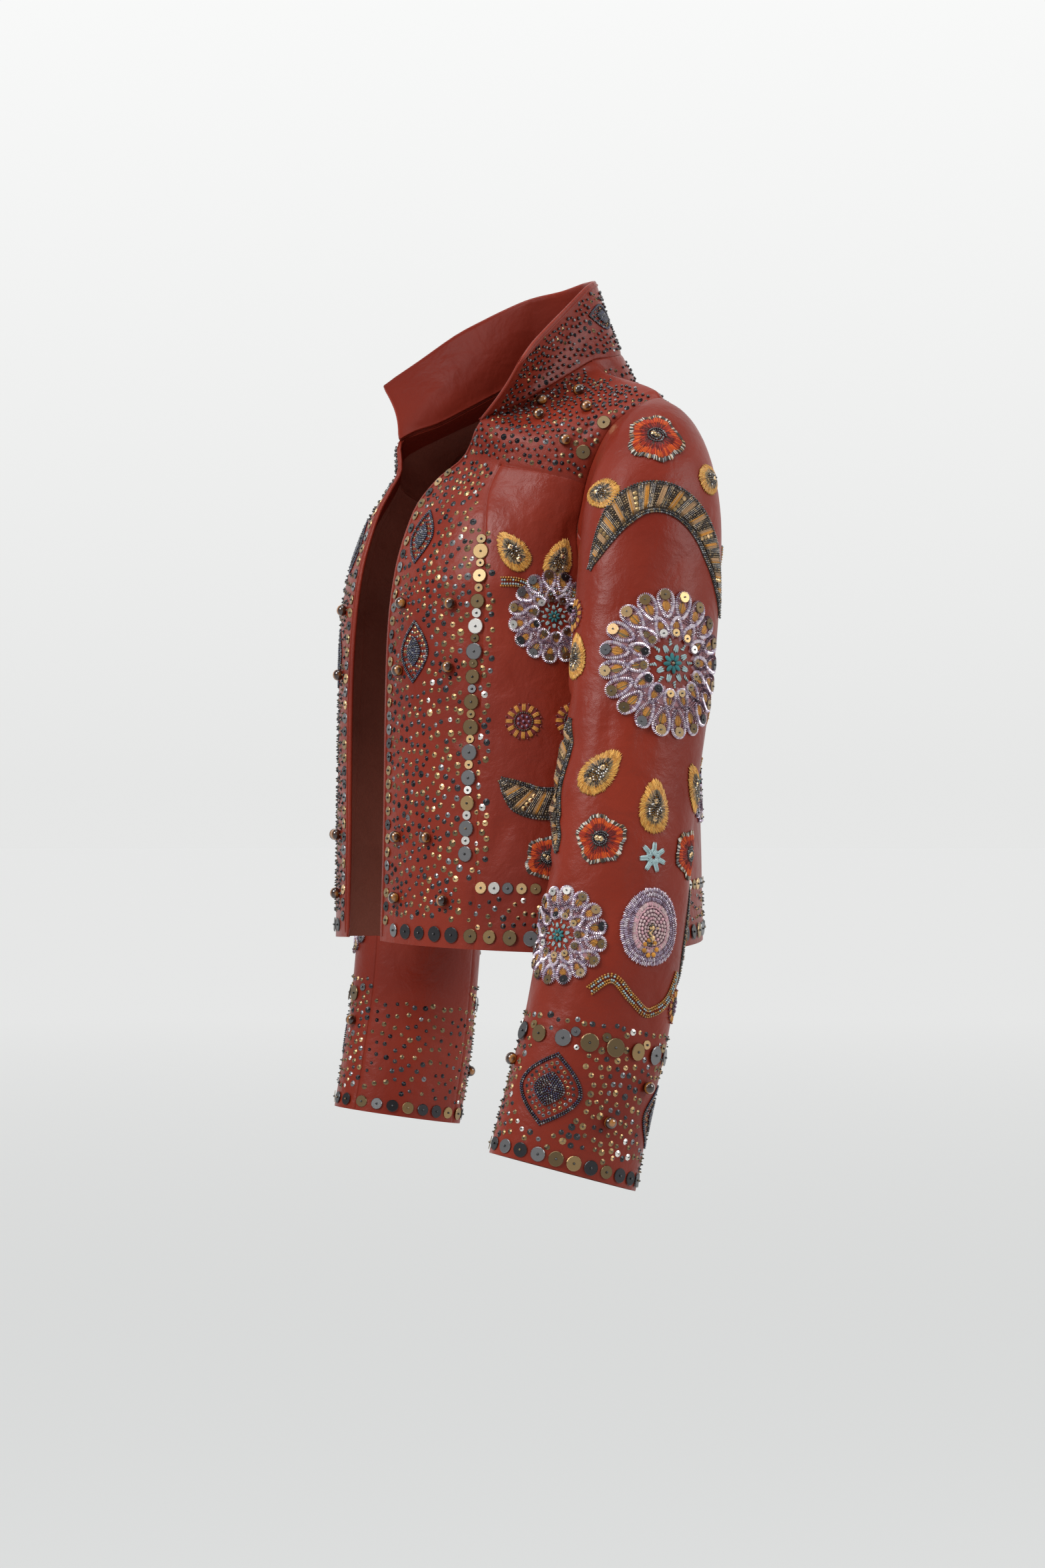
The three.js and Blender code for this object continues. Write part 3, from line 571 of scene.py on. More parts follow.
# %% Creases, and every panel
SLEEVE_CREASES = [
    Crease(14.8, 9.4, 30, 5, -2.1, 8), Crease(15.2, 10.6, 26, 4, 1.8, 5), Crease(14.9, 11.6, 24, 5, -1.6, 3),
    Crease(22.6, 10.2, 26, 5, -1.9, 10), Crease(22.9, 11.4, 22, 4, 1.6, 6),
    Crease(22.4, 12.8, 28, 5, -1.8, -6),
    Crease(24.2, 9.2, 24, 6, -2.2, 14), Crease(26.3, 8.4, 26, 6, -1.6, 12),
    Crease(26.0, 13.6, 30, 6, -1.6, 4),
    Crease(11.8, 4.6, 34, 6, -3.5, 74), Crease(14.2, 5.6, 40, 5, -3.2, 66),
    Crease(16.6, 4.4, 36, 6, -3.8, 78),
    Crease(18.2, 6.2, 32, 5, 2.6, 70), Crease(20.2, 5.0, 38, 6, -3.5, 82), Crease(23.8, 5.4, 30, 5, -2.2, 72),
    Crease(3.2, 5.4, 30, 6, -2.2, 30), Crease(4.6, 4.2, 34, 6, -3.2, 46), Crease(6.6, 3.4, 36, 7, -3.2, 58),
    Crease(5.2, 19.8, 34, 6, -2.9, -44), Crease(8.0, 20.6, 38, 6, -3.2, -58),
    Crease(13.2, 19.4, 34, 6, -2.9, -70),
    Crease(17.6, 20.4, 30, 6, -2.6, -78), Crease(21.2, 18.8, 34, 6, -2.4, -66),
    Crease(25.2, 17.6, 26, 5, -1.9, -60),
]
FRONT_CREASES = [
    Crease(3.4, 7.0, 34, 6, -1.9, 16), Crease(2.9, 8.4, 24, 5, 1.4, -28), Crease(11.6, 8.4, 38, 8, -1.9, 10),
    Crease(12.2, 7.4, 30, 7, 1.4, 6), Crease(10.2, 11.2, 30, 6, -2.9, 50), Crease(8.4, 11.0, 28, 6, -2.2, 64),
    Crease(13.6, 11.4, 26, 6, -2.2, 26), Crease(18.4, 10.4, 24, 6, -1.6, 20),
    Crease(6.6, 5.2, 30, 7, -1.4, 70),
]
BACK_CREASES = [
    Crease(7.5, 7.0, 90, 10, -3.5, 8), Crease(8.5, 10.5, 70, 9, -2.9, -6),
    Crease(7.0, 29.0, 90, 10, -3.5, -8),
    Crease(8.8, 25.6, 70, 9, -2.9, 7), Crease(5.5, 14.5, 80, 9, 2.2, 3), Crease(5.5, 21.5, 80, 9, 2.2, -3),
    Crease(10.0, 3.0, 40, 7, -3.2, 52), Crease(10.0, 33.0, 40, 7, -3.2, -52),
    Crease(8.2, 2.6, 36, 6, -2.6, 66),
    Crease(8.2, 33.4, 36, 6, -2.6, -66), Crease(15.4, 6.4, 44, 8, -2.4, -34),
    Crease(15.4, 29.6, 44, 8, -2.4, 34),
    Crease(17.2, 18.0, 50, 9, -1.9, 88), Crease(2.4, 12.0, 44, 9, -1.9, 4),
    Crease(2.6, 24.4, 44, 9, -2.1, -5),
]
COLLAR_CREASES = [
    Crease(2.4, 1.6, 22, 4, -0.8, 62), Crease(2.0, 3.0, 20, 4, -0.7, 48), Crease(2.2, 20.6, 22, 4, -0.8, -58),
    Crease(2.6, 8.0, 20, 5, -0.6, 86), Crease(2.2, 14.2, 20, 5, -0.6, 92),
]
front_seams = [(0, PRINCESS, YOKE, PRINCESS), (YOKE, PRINCESS, YOKE, QUARTER), (0, QUARTER, TOP, QUARTER)]
front_seams += [(TOP, 0, TOP, QUARTER), (NOTCH, 0, TOP, 0)]
back_seams = [(0, 0, TOP, 0), (0, 36, TOP, 36), (TOP, 0, TOP, 36)]
sleeve_seams = [(0, UNDER_FROM, LENGTH, UNDER_FROM), (0, UNDER_TO, LENGTH, UNDER_TO), (0, 0, 0, AROUND)]
panels = {
    "back": Panel("back", whole_back, -1, creases=BACK_CREASES, seams=back_seams),
    "collar": Panel("collar", collar, -1, creases=COLLAR_CREASES, seams=[(0, 0, 0, 22)]),
}
for side, hand, arm in (("left", 1, LEFT_ARM), ("right", -1, RIGHT_ARM)):
    facing = np.array([hand, 1, 1])
    panels[f"{side}_front"] = Panel(
        f"{side}_front", front * facing, hand, creases=FRONT_CREASES, seams=front_seams,
    )
    panels[f"{side}_sleeve"] = Panel(
        f"{side}_sleeve", sleeve_grid(arm, hole) * facing, -hand, True, SLEEVE_CREASES, sleeve_seams,
    )
for panel in panels.values():
    print(f"{panel.name}: cells of {panel.row_pitch:.1f} by {panel.column_pitch:.1f} mm")

# %% [markdown]
# ## Shells
#
# Each cut piece is a thin shell on its wall's own surface. A grid operator gives the mesh, whose
# lines are then set along rows and columns of the panel, closer together beside a seam, so that
# the turned edge is a real groove. A Solidify modifier gives the leather its thickness, with the
# fleshy back of the hide inside, and a small bevel rounds the cut edges.

# %% Shell helpers
SEAM_LINES = (0.15, 1.6, 3.4)
Cut = namedtuple("Cut", "piece panel node rows columns missing width length area")


def shell_lines(first, last, fine, pitch, seams=()):
    """Lines of a shell: a few in each cell, and closer ones beside each seam."""
    near = [seam + side * gap / pitch for seam in seams for side in (-1, 1) for gap in SEAM_LINES]
    fixed = sorted({first, last, *[line for line in near if first < line < last]})
    even = np.arange(math.ceil(first * fine), math.floor(last * fine) + 1) / fine
    free = [line for line in even if min(abs(line - other) for other in fixed) > 1.6 / pitch]
    return np.array(sorted([*fixed, *free]))


def finish_piece(piece, body="root"):
    bpy.context.scene.collection.objects.link(piece)
    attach(piece, body)
    return piece


def shell(name, panel, rows, columns, missing=None, lift=0.0, thick=LEATHER, materials=()):
    """A shell over some rows and columns of a panel, without the cells that are missing."""
    mesh = bmesh.new()
    bmesh.ops.create_grid(mesh, x_segments=len(columns) - 1, y_segments=len(rows) - 1, size=1)
    flat = np.array([vertex.co[:2] for vertex in mesh.verts])
    column = columns[np.rint((flat[:, 0] + 1) / 2 * (len(columns) - 1)).astype(int)]
    row = rows[np.rint((flat[:, 1] + 1) / 2 * (len(rows) - 1)).astype(int)]
    places = panel.at(row, column, lift) * MM
    for vertex, co in zip(mesh.verts, places):
        vertex.co = co
    if missing:
        middle = [(np.mean([row[v.index] for v in f.verts]), np.mean([column[v.index] for v in f.verts]))
                  for f in mesh.faces]
        gone = [face for face, spot in zip(mesh.faces, middle) if missing(*spot)]
        bmesh.ops.delete(mesh, geom=gone, context="FACES")
    if panel.wraps and columns[-1] - columns[0] >= panel.columns:
        bmesh.ops.remove_doubles(mesh, verts=mesh.verts, dist=0.0001)
    if panel.turn < 0:
        bmesh.ops.reverse_faces(mesh, faces=mesh.faces)
    piece = bpy.data.objects.new(name, bpy.data.meshes.new(name))
    mesh.to_mesh(piece.data)
    mesh.free()
    piece.data.shade_smooth()
    for material in materials:
        piece.data.materials.append(material)
    wall = piece.modifiers.new("thickness", "SOLIDIFY")
    wall.thickness = thick * MM
    wall.offset = 0
    wall.material_offset = len(materials) - 1
    edge = piece.modifiers.new("edge", "BEVEL")
    edge.width = 0.5 * MM
    edge.segments = 1
    edge.limit_method = "ANGLE"
    edge.angle_limit = math.radians(60)
    return finish_piece(piece)


def flat_area(piece):
    """The area of a shell's middle surface, in square metres."""
    return sum(face.area for face in piece.data.polygons)


# %% Shells of the body, sleeves and collar
BODY_FINE, SLEEVE_FINE, COLLAR_FINE = 4, 3, 4
# A row of a sleeve is about 19 mm long.
SLEEVE_ROW = 19
SLEEVE_EDGE = FOLDED_SEAM / 2 / SLEEVE_ROW
CUTS = [
    Cut("front", "front", "front", (0, TOP), (0, QUARTER), True, 0.25, 0.56, 0.061),
    Cut("side_front", "front", "side_front", (0, YOKE), (PRINCESS, QUARTER), False, 0.125, 0.42, 0.043),
    Cut("upper_sleeve", "sleeve", "upper_sleeve", (0, LENGTH), (UNDER_FROM, UNDER_TO), False, 0.28, 0.66,
        0.156),
    Cut("under_sleeve", "sleeve", "under_sleeve", (0, LENGTH), (UNDER_TO, UNDER_FROM + AROUND), False,
        0.12, 0.60, 0.053),
]


def l_shape(row, column):
    """True where a front leaves room for its side front."""
    return row < YOKE and column > PRINCESS


def declare(piece, node):
    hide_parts(node)
    triangles = len(piece.data.polygons) * 4
    print(f"{piece.name}: {flat_area(piece):.4f} m2 of leather, about {triangles} triangles")


shells = {}
for side in ("left", "right"):
    for cut in CUTS:
        panel = panels[f"{side}_{cut.panel}"]
        gap_row, gap_column = SEAM / 2 / panel.row_pitch, SEAM / 2 / panel.column_pitch
        fine = BODY_FINE if cut.panel == "front" else SLEEVE_FINE
        rows = [cut.rows[0] + (SLEEVE_EDGE if cut.panel == "sleeve" else 0), cut.rows[1]]
        columns = [cut.columns[0], cut.columns[1]]
        if cut.panel == "front":
            rows[1] -= gap_row
            columns = [columns[0] + (gap_column if columns[0] else 0), columns[1] - gap_column]
        else:
            columns = [columns[0] + gap_column, columns[1] - gap_column]
        seams_across = [YOKE] if cut.missing else []
        seams_along = [PRINCESS] if cut.missing else []
        piece = shell(
            f"{side}_{cut.piece}",
            panel,
            shell_lines(*rows, fine, panel.row_pitch, [cut.rows[0], cut.rows[1], *seams_across]),
            shell_lines(*columns, fine, panel.column_pitch, [*cut.columns, *seams_along]),
            l_shape if cut.missing else None,
            materials=(red_leather, suede),
        )
        shells[piece.name] = piece
        declare(piece, f"{cut.node}_{side}")

panel = panels["back"]
piece = shell(
    "whole_back",
    panel,
    shell_lines(0, TOP - SEAM / 2 / panel.row_pitch, BODY_FINE, panel.row_pitch, [TOP]),
    shell_lines(0.01, 35.99, 3, panel.column_pitch, [0, 36]),
    materials=(red_leather, suede),
)
declare(piece, "back")

# %% [markdown]
# ### Facings and collar
#
# Inside the opening the fronts are faced with plain leather, and so is the collar. The facing lies
# a seam's width inside the shell and follows all its curves. Its own free edge is cut straight.

# %% Facings and collar
FACING_LIFT = -(LEATHER / 2 + SEAM + LINER / 2)
for side in ("left", "right"):
    panel = panels[f"{side}_front"]
    piece = shell(
        f"{side}_facing",
        panel,
        shell_lines(0, TOP - SEAM / 2 / panel.row_pitch, BODY_FINE, panel.row_pitch),
        shell_lines(0, FACING, 3, panel.column_pitch),
        lift=FACING_LIFT,
        thick=LINER,
        materials=(facing_leather,),
    )
    declare(piece, f"front_facing_{side}")

panel = panels["collar"]
collar_rows = shell_lines(FOLDED_SEAM / 2 / panel.row_pitch, STAND, COLLAR_FINE, panel.row_pitch, [0])
collar_columns = shell_lines(0, 22, COLLAR_FINE, panel.column_pitch)
outside = shell("stand_collar", panel, collar_rows, collar_columns, materials=(red_leather, suede))
declare(outside, "collar")
inside = shell(
    "stand_collar_facing", panel, collar_rows, collar_columns,
    lift=FACING_LIFT, thick=LINER, materials=(facing_leather,),
)
declare(inside, "collar_facing")

# %% [markdown]
# ### Piping
#
# A narrow roll of leather runs up each front edge and round the collar, with a second one beside
# it. Each is a tube: a grid that is rolled round its path, with its long edges merged.

# %% Piping
PIPING = 1.5
ROUND = 8


def tube(mesh, path, radius):
    """Adds a tube along a path to a bmesh. The path is in millimetres."""
    new = bmesh.ops.create_grid(mesh, x_segments=ROUND, y_segments=len(path) - 1, size=1)["verts"]
    along = unit(np.gradient(path, axis=0))
    side = unit(np.cross(along, np.array([0.31, 0.17, 0.93])))
    other = np.cross(along, side)
    for vertex in new:
        step = round((vertex.co.y + 1) / 2 * (len(path) - 1))
        turn = math.pi * (vertex.co.x + 1)
        tight = 0.55 if step in (0, len(path) - 1) else 1.0
        bend = math.cos(turn) * side[step] + math.sin(turn) * other[step]
        vertex.co = (path[step] + bend * radius * tight) * MM
    bmesh.ops.remove_doubles(mesh, verts=new, dist=0.00005)
    ends = [edge for edge in mesh.edges if edge.is_boundary]
    bmesh.ops.holes_fill(mesh, edges=ends, sides=ROUND)


def edge_path(panel, ends, fixed, lift, vertical):
    """Points along a row or column of a panel."""
    count = 1 + 3 * int(abs(ends[1] - ends[0]))
    moving = np.linspace(*ends, count)
    still = np.full(count, float(fixed))
    return panel.at(moving, still, lift) if vertical else panel.at(still, moving, lift)


piping = bmesh.new()
for side in ("left", "right"):
    panel = panels[f"{side}_front"]
    tube(piping, edge_path(panel, (0, NOTCH), 0, -0.6, True), PIPING)
    tube(piping, edge_path(panel, (0.15, NOTCH - 0.2), 0.21, 0.7, True), PIPING * 0.8)
panel = panels["collar"]
tube(piping, edge_path(panel, (0, 22), STAND, -0.6, False), PIPING)
tube(piping, edge_path(panel, (0.2, 21.8), STAND - 0.2, 0.7, False), PIPING * 0.8)
for column in (0, 22):
    tube(piping, edge_path(panel, (0.2, STAND), column, -0.6, True), PIPING)
bmesh.ops.recalc_face_normals(piping, faces=piping.faces)
piece = bpy.data.objects.new("edge_piping", bpy.data.meshes.new("edge_piping"))
piping.to_mesh(piece.data)
piping.free()
piece.data.shade_smooth()
piece.data.materials.append(red_leather)
finish_piece(piece)
print(f"piping: {len(piece.data.polygons)} faces")

# %% [markdown]
# ## Small things
#
# The beads, sequins and stitches number in the tens of thousands. One small mesh is made for each
# kind, with a bmesh operator and only a few faces. Its copies are then kept as arrays of places,
# directions, sizes and colours, and joined into one mesh for each part of the jacket. The colour of
# each copy is stored on its vertices, in an attribute that its material reads.


# %% Small shapes
class Shape:
    """The vertices and triangles of a small shape, one unit across."""

    def __init__(self, name, make, lie_down=False, smooth=True, **sizes):
        self.name = name
        mesh = bmesh.new()
        make(mesh, **sizes)
        if lie_down:
            bmesh.ops.rotate(mesh, verts=mesh.verts, matrix=Matrix.Rotation(math.radians(90), 3, "Y"))
        bmesh.ops.triangulate(mesh, faces=mesh.faces)
        self.points = np.array([vertex.co for vertex in mesh.verts])
        self.triangles = np.array([[vertex.index for vertex in face.verts] for face in mesh.faces])
        self.smooth = smooth
        mesh.free()


ball, cone = bmesh.ops.create_uvsphere, bmesh.ops.create_cone
PIP = Shape("pip", ball, u_segments=6, v_segments=2, radius=0.5)
SEED = Shape("seed", bmesh.ops.create_icosphere, subdivisions=1, radius=0.5)
GEM = Shape("gem", ball, u_segments=8, v_segments=5, radius=0.5)
STONE = Shape("stone", ball, u_segments=20, v_segments=12, radius=0.5)
CUP = Shape("cup", cone, smooth=False, cap_ends=False, segments=8, radius1=0.5, radius2=0, depth=1)
PLATE = Shape("plate", cone, smooth=False, cap_ends=True, segments=16, radius1=0.5, radius2=0.46, depth=1)
BUGLE = Shape("bugle", cone, lie_down=True, cap_ends=False, segments=5, radius1=0.5, radius2=0.5, depth=1)
STITCH = Shape("stitch", ball, lie_down=True, u_segments=4, v_segments=3, radius=0.5)
for shape in (PIP, SEED, GEM, STONE, CUP, PLATE, BUGLE, STITCH):
    print(f"{shape.name}: {len(shape.triangles)} triangles")


# %% Trays
class Tray:
    """Copies of small shapes in one finish, kept as arrays until they are joined."""

    def __init__(self):
        self.points, self.triangles, self.colours, self.smooth, self.count = [], [], [], [], 0

    def add(self, shape, places, along, out, size, colour):
        side = np.cross(out, along)
        size = np.broadcast_to(size, (len(places), 3))
        local = shape.points[None] * size[:, None]
        spread = (local[..., i : i + 1] * axis[:, None] for i, axis in enumerate((along, side, out)))
        self.keep(places[:, None] + sum(spread), shape.triangles, colour, shape.smooth)

    def keep(self, points, triangles, colour, smooth=True):
        """Adds copies as an array of points for each, all with the same triangles."""
        copies, each = points.shape[:2]
        if not copies:
            return
        offsets = self.count + each * np.arange(copies)
        self.points.append(points.reshape(-1, 3))
        self.triangles.append((triangles[None] + offsets[:, None, None]).reshape(-1, 3))
        self.colours.append(np.repeat(np.broadcast_to(colour, (copies, 3)), each, axis=0))
        self.smooth.append(np.full(copies * len(triangles), smooth))
        self.count += copies * each

    def join(self, name, material, slot):
        points, triangles = np.concatenate(self.points) * MM, np.concatenate(self.triangles)
        mesh = bpy.data.meshes.new(name)
        mesh.vertices.add(len(points))
        mesh.vertices.foreach_set("co", points.astype(np.float32).ravel())
        mesh.loops.add(3 * len(triangles))
        mesh.loops.foreach_set("vertex_index", triangles.astype(np.int32).ravel())
        mesh.polygons.add(len(triangles))
        mesh.polygons.foreach_set("loop_start", np.arange(0, 3 * len(triangles), 3, dtype=np.int32))
        mesh.polygons.foreach_set("use_smooth", np.concatenate(self.smooth))
        mesh.update(calc_edges=True)
        shade = mesh.color_attributes.new("shade", "FLOAT_COLOR", "POINT")
        colours = np.concatenate(self.colours)
        shade.data.foreach_set("color", np.c_[colours, np.ones(len(colours))].astype(np.float32).ravel())
        mesh.materials.append(material)
        piece = finish_piece(bpy.data.objects.new(name, mesh))
        print(f"{name}: {len(triangles)} triangles")
        return len(triangles)


trays = {}


def tray(panel, finish):
    return trays.setdefault((panel.name, finish), Tray())


# %% Colours
# Each palette is a list of colours and how often each is used.
GUNMETAL, BLACKENED, PEWTER = (0.052, 0.052, 0.056), (0.022, 0.022, 0.025), (0.2, 0.2, 0.205)
BRONZE, OLD_GOLD, GOLD, SILVER = (0.2, 0.14, 0.075), (0.34, 0.23, 0.11), (0.7, 0.47, 0.24), (0.74, 0.72, 0.68)
JET, NIGHT, TEAL, SKY = (0.02, 0.02, 0.022), (0.025, 0.03, 0.07), (0.03, 0.16, 0.17), (0.33, 0.45, 0.46)
HONEY, AMBER, MAROON, PLUM = (0.5, 0.22, 0.032), (0.42, 0.19, 0.03), (0.16, 0.02, 0.02), (0.16, 0.09, 0.15)
LILAC, PEARL, ROSE, MAUVE = (0.43, 0.34, 0.46), (0.74, 0.65, 0.72), (0.34, 0.17, 0.19), (0.2, 0.11, 0.14)
SUNSET, EMBER, CRIMSON = (0.55, 0.08, 0.008), (0.33, 0.025, 0.006), (0.12, 0.008, 0.006)
CAMEL, OLIVE, BARK, CHALK = (0.40, 0.24, 0.12), (0.20, 0.14, 0.065), (0.055, 0.038, 0.028), (0.62, 0.58, 0.5)
PINK, BLUSH, STRAW = (0.62, 0.36, 0.4), (0.55, 0.40, 0.40), (0.64, 0.34, 0.07)
DARK_CUPS = ((GUNMETAL, 5), (BLACKENED, 3), (BRONZE, 5), (PEWTER, 1))
BRIGHT_CUPS = ((GUNMETAL, 5), (BRONZE, 6), (OLD_GOLD, 4), (GOLD, 1), (SILVER, 1), (PEWTER, 2))
PLATES = ((OLD_GOLD, 3), (SILVER, 2), (PEWTER, 2), (GOLD, 2), (BRONZE, 2))
DARK_PLATES = ((BRONZE, 3), (GUNMETAL, 3), (PEWTER, 2), (OLD_GOLD, 1))
EDGE_PLATES = ((OLD_GOLD, 3), (GUNMETAL, 3), (PEWTER, 2), (GOLD, 1))
DARK_SEEDS = ((JET, 4), (GUNMETAL, 3), (BRONZE, 1))


def shades(palette, count, drift=0.14):
    """Colours for some copies, drawn from a palette and each a little lighter or darker."""
    if not isinstance(palette[0], tuple):
        palette = ((palette, 1),)
    colours = np.array([colour for colour, _ in palette])
    often = np.array([share for _, share in palette], float)
    picked = colours[rng.choice(len(colours), count, p=often / often.sum())]
    return picked * (1 + drift * rng.uniform(-1, 1, (count, 1)))

# %% [markdown]
# ## Drawing flat, sewing round
#
# A motif is easiest to draw flat, in millimetres round its own middle. To sew it on, each of its
# points walks over the leather from that middle, as a tape laid on the sleeve would, so that the
# motif keeps its size and wraps round the arm. Under thick work lies a pad of felt.


# %% Flat drawing
def even(points, pitch, closed=False):
    """Points a pitch apart along a flat line, and the angle of the line at each."""
    if closed:
        points = np.concatenate([points, points[:1]])
    run = np.concatenate([[0], np.cumsum(np.linalg.norm(np.diff(points, axis=0), axis=1))])
    count = max(2, round(run[-1] / pitch) + (0 if closed else 1))
    wanted = np.linspace(0, run[-1], count, endpoint=not closed)
    spots = np.stack([np.interp(wanted, run, points[:, i]) for i in (0, 1)], axis=1)
    ahead = np.stack([np.interp((wanted + 0.5) % (run[-1] + 1e-9), run, points[:, i]) for i in (0, 1)],
                     axis=1)
    step = ahead - spots
    if not closed:
        step[-1] = spots[-1] - spots[-2]
    return spots, np.arctan2(step[:, 1], step[:, 0])


def polar(radius, angle):
    return np.stack([radius * np.cos(angle), radius * np.sin(angle)], axis=-1)


def turned(points, angle):
    return points @ np.array([[math.cos(angle), math.sin(angle)], [-math.sin(angle), math.cos(angle)]])


def full_turn(count):
    return 2 * math.pi * np.arange(count) / count


class Design:
    """Small things drawn flat, in millimetres round the middle of a motif."""

    def __init__(self):
        self.things, self.pads = [], []

    def add(self, finish, shape, spots, angle, size, colour, lift=0.4, lean=0.0):
        count = len(spots)
        if count:
            values = [np.broadcast_to(value, (count,)) for value in (angle, lift, lean)]
            size = np.broadcast_to(np.asarray(size, float), (count, 3))
            self.things.append((finish, shape, spots, *values, size, colour))

    def line(self, finish, shape, points, pitch, size, palette, lift=0.4, lean=0.0, closed=False):
        spots, angle = even(points, pitch, closed)
        self.add(finish, shape, spots, angle, size, shades(palette, len(spots)), lift, lean)

    def pad(self, outline, high, colour, hole=0.0):
        """Puts felt under an outline, with a hole that takes a share of it."""
        self.pads.append((outline, high, colour, hole))

    def sew(self, panel, row, column, turn=0.0):
        """Lays everything on a panel. Whatever falls off its edge is left out."""
        spots = np.concatenate([thing[2] for thing in self.things])
        angle = np.concatenate([thing[3] for thing in self.things])
        rows, columns = panel.lay(row, column, turn, np.concatenate([spots, spots + 0.4 * polar(1, angle)]))
        half = len(spots)
        kept = panel.holds(rows[:half], columns[:half])
        ends = np.cumsum([len(thing[2]) for thing in self.things])
        for kind in sorted({(thing[0], thing[1].name) for thing in self.things}):
            mine = [(thing, end) for thing,
                    end in zip(self.things, ends) if (thing[0], thing[1].name) == kind]
            at = np.concatenate([np.arange(end - len(thing[2]), end) for thing, end in mine])
            keep = kept[at]
            lift, lean, size, colour = (np.concatenate([thing[i] for thing,
                                                        _ in mine])[keep] for i in range(4, 8))
            at = at[keep]
            ahead = rows[half + at], columns[half + at]
            sew(panel, kind[0], mine[0][0][1], rows[at], columns[at], size, colour, lift, lean, ahead)
        for outline, high, colour, hole in self.pads:
            pad_on(panel, (row, column, turn), outline, high, colour, hole)


SKIN = LEATHER / 2  # the outer face of the leather over the middle of its wall


def sew(panel, finish, shape, row, column, size, colour, lift=0.0, lean=0.0, ahead=None):
    """Puts copies of a shape on a panel. Each points to the place ahead, or any way, and may lean."""
    if not len(row):
        return
    spots, right, up, out = panel.frame(row, column)
    if ahead is None:
        turn = rng.uniform(0, 2 * math.pi, (len(row), 1))
        along = right * np.cos(turn) + up * np.sin(turn)
    else:
        step = panel.at(*ahead) - spots
        along = unit(step - out * dot(step, out))
    lean = np.broadcast_to(lean, (len(row),))[:, None]
    leant_out = out * np.cos(lean) + along * np.sin(lean)
    leant_along = along * np.cos(lean) - out * np.sin(lean)
    rise = np.broadcast_to(lift, (len(row),))[:, None] + SKIN
    tray(panel, finish).add(shape, spots + out * rise, leant_along, leant_out, size, colour)


PAD_RINGS = ((1.0, -0.4), (0.97, 0.6), (0.8, 0.95), (0.4, 1.0), (0.0, 1.0))
HOLED_RINGS = ((1.0, -0.4), (0.97, 0.6), (0.8, 0.95), (0.2, 0.95), (0.03, 0.6), (0.0, -0.4))


def pad_on(panel, middle, outline, high, colour, hole=0.0):
    """A pad of felt over an outline, in one piece that is domed a little."""
    rings = [(hole + (1 - hole) * share, part) for share, part in (HOLED_RINGS if hole else PAD_RINGS)]
    flat = np.concatenate([outline * share for share, _ in rings])
    rows, columns = panel.lay(*middle, flat)
    if not panel.holds(rows, columns).all():
        rows, columns = np.clip(rows, 0, panel.rows), columns if panel.wraps else np.clip(columns, 0,
                                                                                          panel.columns)
    count = len(outline)
    lifts = np.repeat([SKIN + high * part for _, part in rings], count)
    points = panel.at(rows, columns, lifts)
    a = np.arange(count * (len(rings) - 1))
    b = a - a % count + (a + 1) % count
    triangles = np.concatenate([np.c_[a, b, b + count], np.c_[a, b + count, a + count]])
    tray(panel, "felt").keep(points[None], triangles, colour)


# %% [markdown]
# ### Rosettes
#
# The largest motifs are round flowers like a doily. Two rings of petals meet at a waist, one ring
# pointing out and one in. Each petal is edged with pearly sequins that stand on edge and overlap,
# like a roll of coins, and has a row of rose beads, a tongue of silk and a flat sequin at its tip.
# The bare middle holds a small teal flower.


# %% Rosettes
TIP_PLATES = ((BRONZE, 4), (GUNMETAL, 4), (OLD_GOLD, 3), (GOLD, 1), (PEWTER, 2), (SILVER, 1))


def petal_line(start, end, half, points=48):
    """The closed outline of a petal that points along X, narrow at its start and round at its end."""
    turn = full_turn(points)
    share = (1 - np.cos(turn)) / 2
    return np.stack([start + (end - start) * share, half * np.sin(turn) * (0.55 + 0.5 * share)], axis=1)


def shrunk(outline, share):
    middle = outline.mean(axis=0)
    return middle + (outline - middle) * share


def silk_tongue(design, start, end, half, turn, palette, finish="silk", lift=0.9):
    """Long stitches side by side that fill a petal."""
    across = np.linspace(-1, 1, max(3, round(half / 0.5)))
    length = (end - start) * np.sqrt(1 - 0.8 * across**2)
    middle = np.stack([np.full(len(across), (start + end) / 2) + rng.uniform(-0.3, 0.3, len(across)),
                       across * half * 0.82], axis=1)
    size = np.c_[length, np.full(len(across), 1.15), np.full(len(across), 0.9)]
    angle = turn - across * 0.12
    design.add(finish, STITCH, turned(middle, turn), angle, size, shades(palette, len(across), 0.25), lift)


def teal_flower(design, radius):
    """The small flower in a rosette's bare middle: teal loops, pale petals and pale knots."""
    turn = full_turn(8)
    loops = np.tile([radius * 0.36, radius * 0.19, 2.4], (8, 1))
    design.add("wool", GEM, polar(radius * 0.27, turn), turn, loops, shades(TEAL, 8, 0.25), 1.0)
    design.add("glass", GEM, np.zeros((1, 2)), 0, (2.6, 2.6, 2.2), shades(BRONZE, 1), 2.0)
    between = turn + math.pi / 8
    for offset in (-1, 0, 1):
        spots = polar(radius * 0.64, between) + radius * 0.068 * offset * polar(1, between + math.pi / 2)
        size = (radius * (0.42 - 0.08 * abs(offset)), radius * 0.1, 1.3)
        design.add("wool", STITCH, spots, between - 0.12 * offset, size, shades(SKY, 8, 0.15), 0.6)
    for step in (0.78, 0.88, 0.98):
        size = (radius * 0.09, radius * (0.22 - 0.5 * (step - 0.78)), 1.3)
        design.add("wool", STITCH, polar(radius * step, turn), turn + 0.5, size, shades(SKY, 8, 0.25), 0.5)


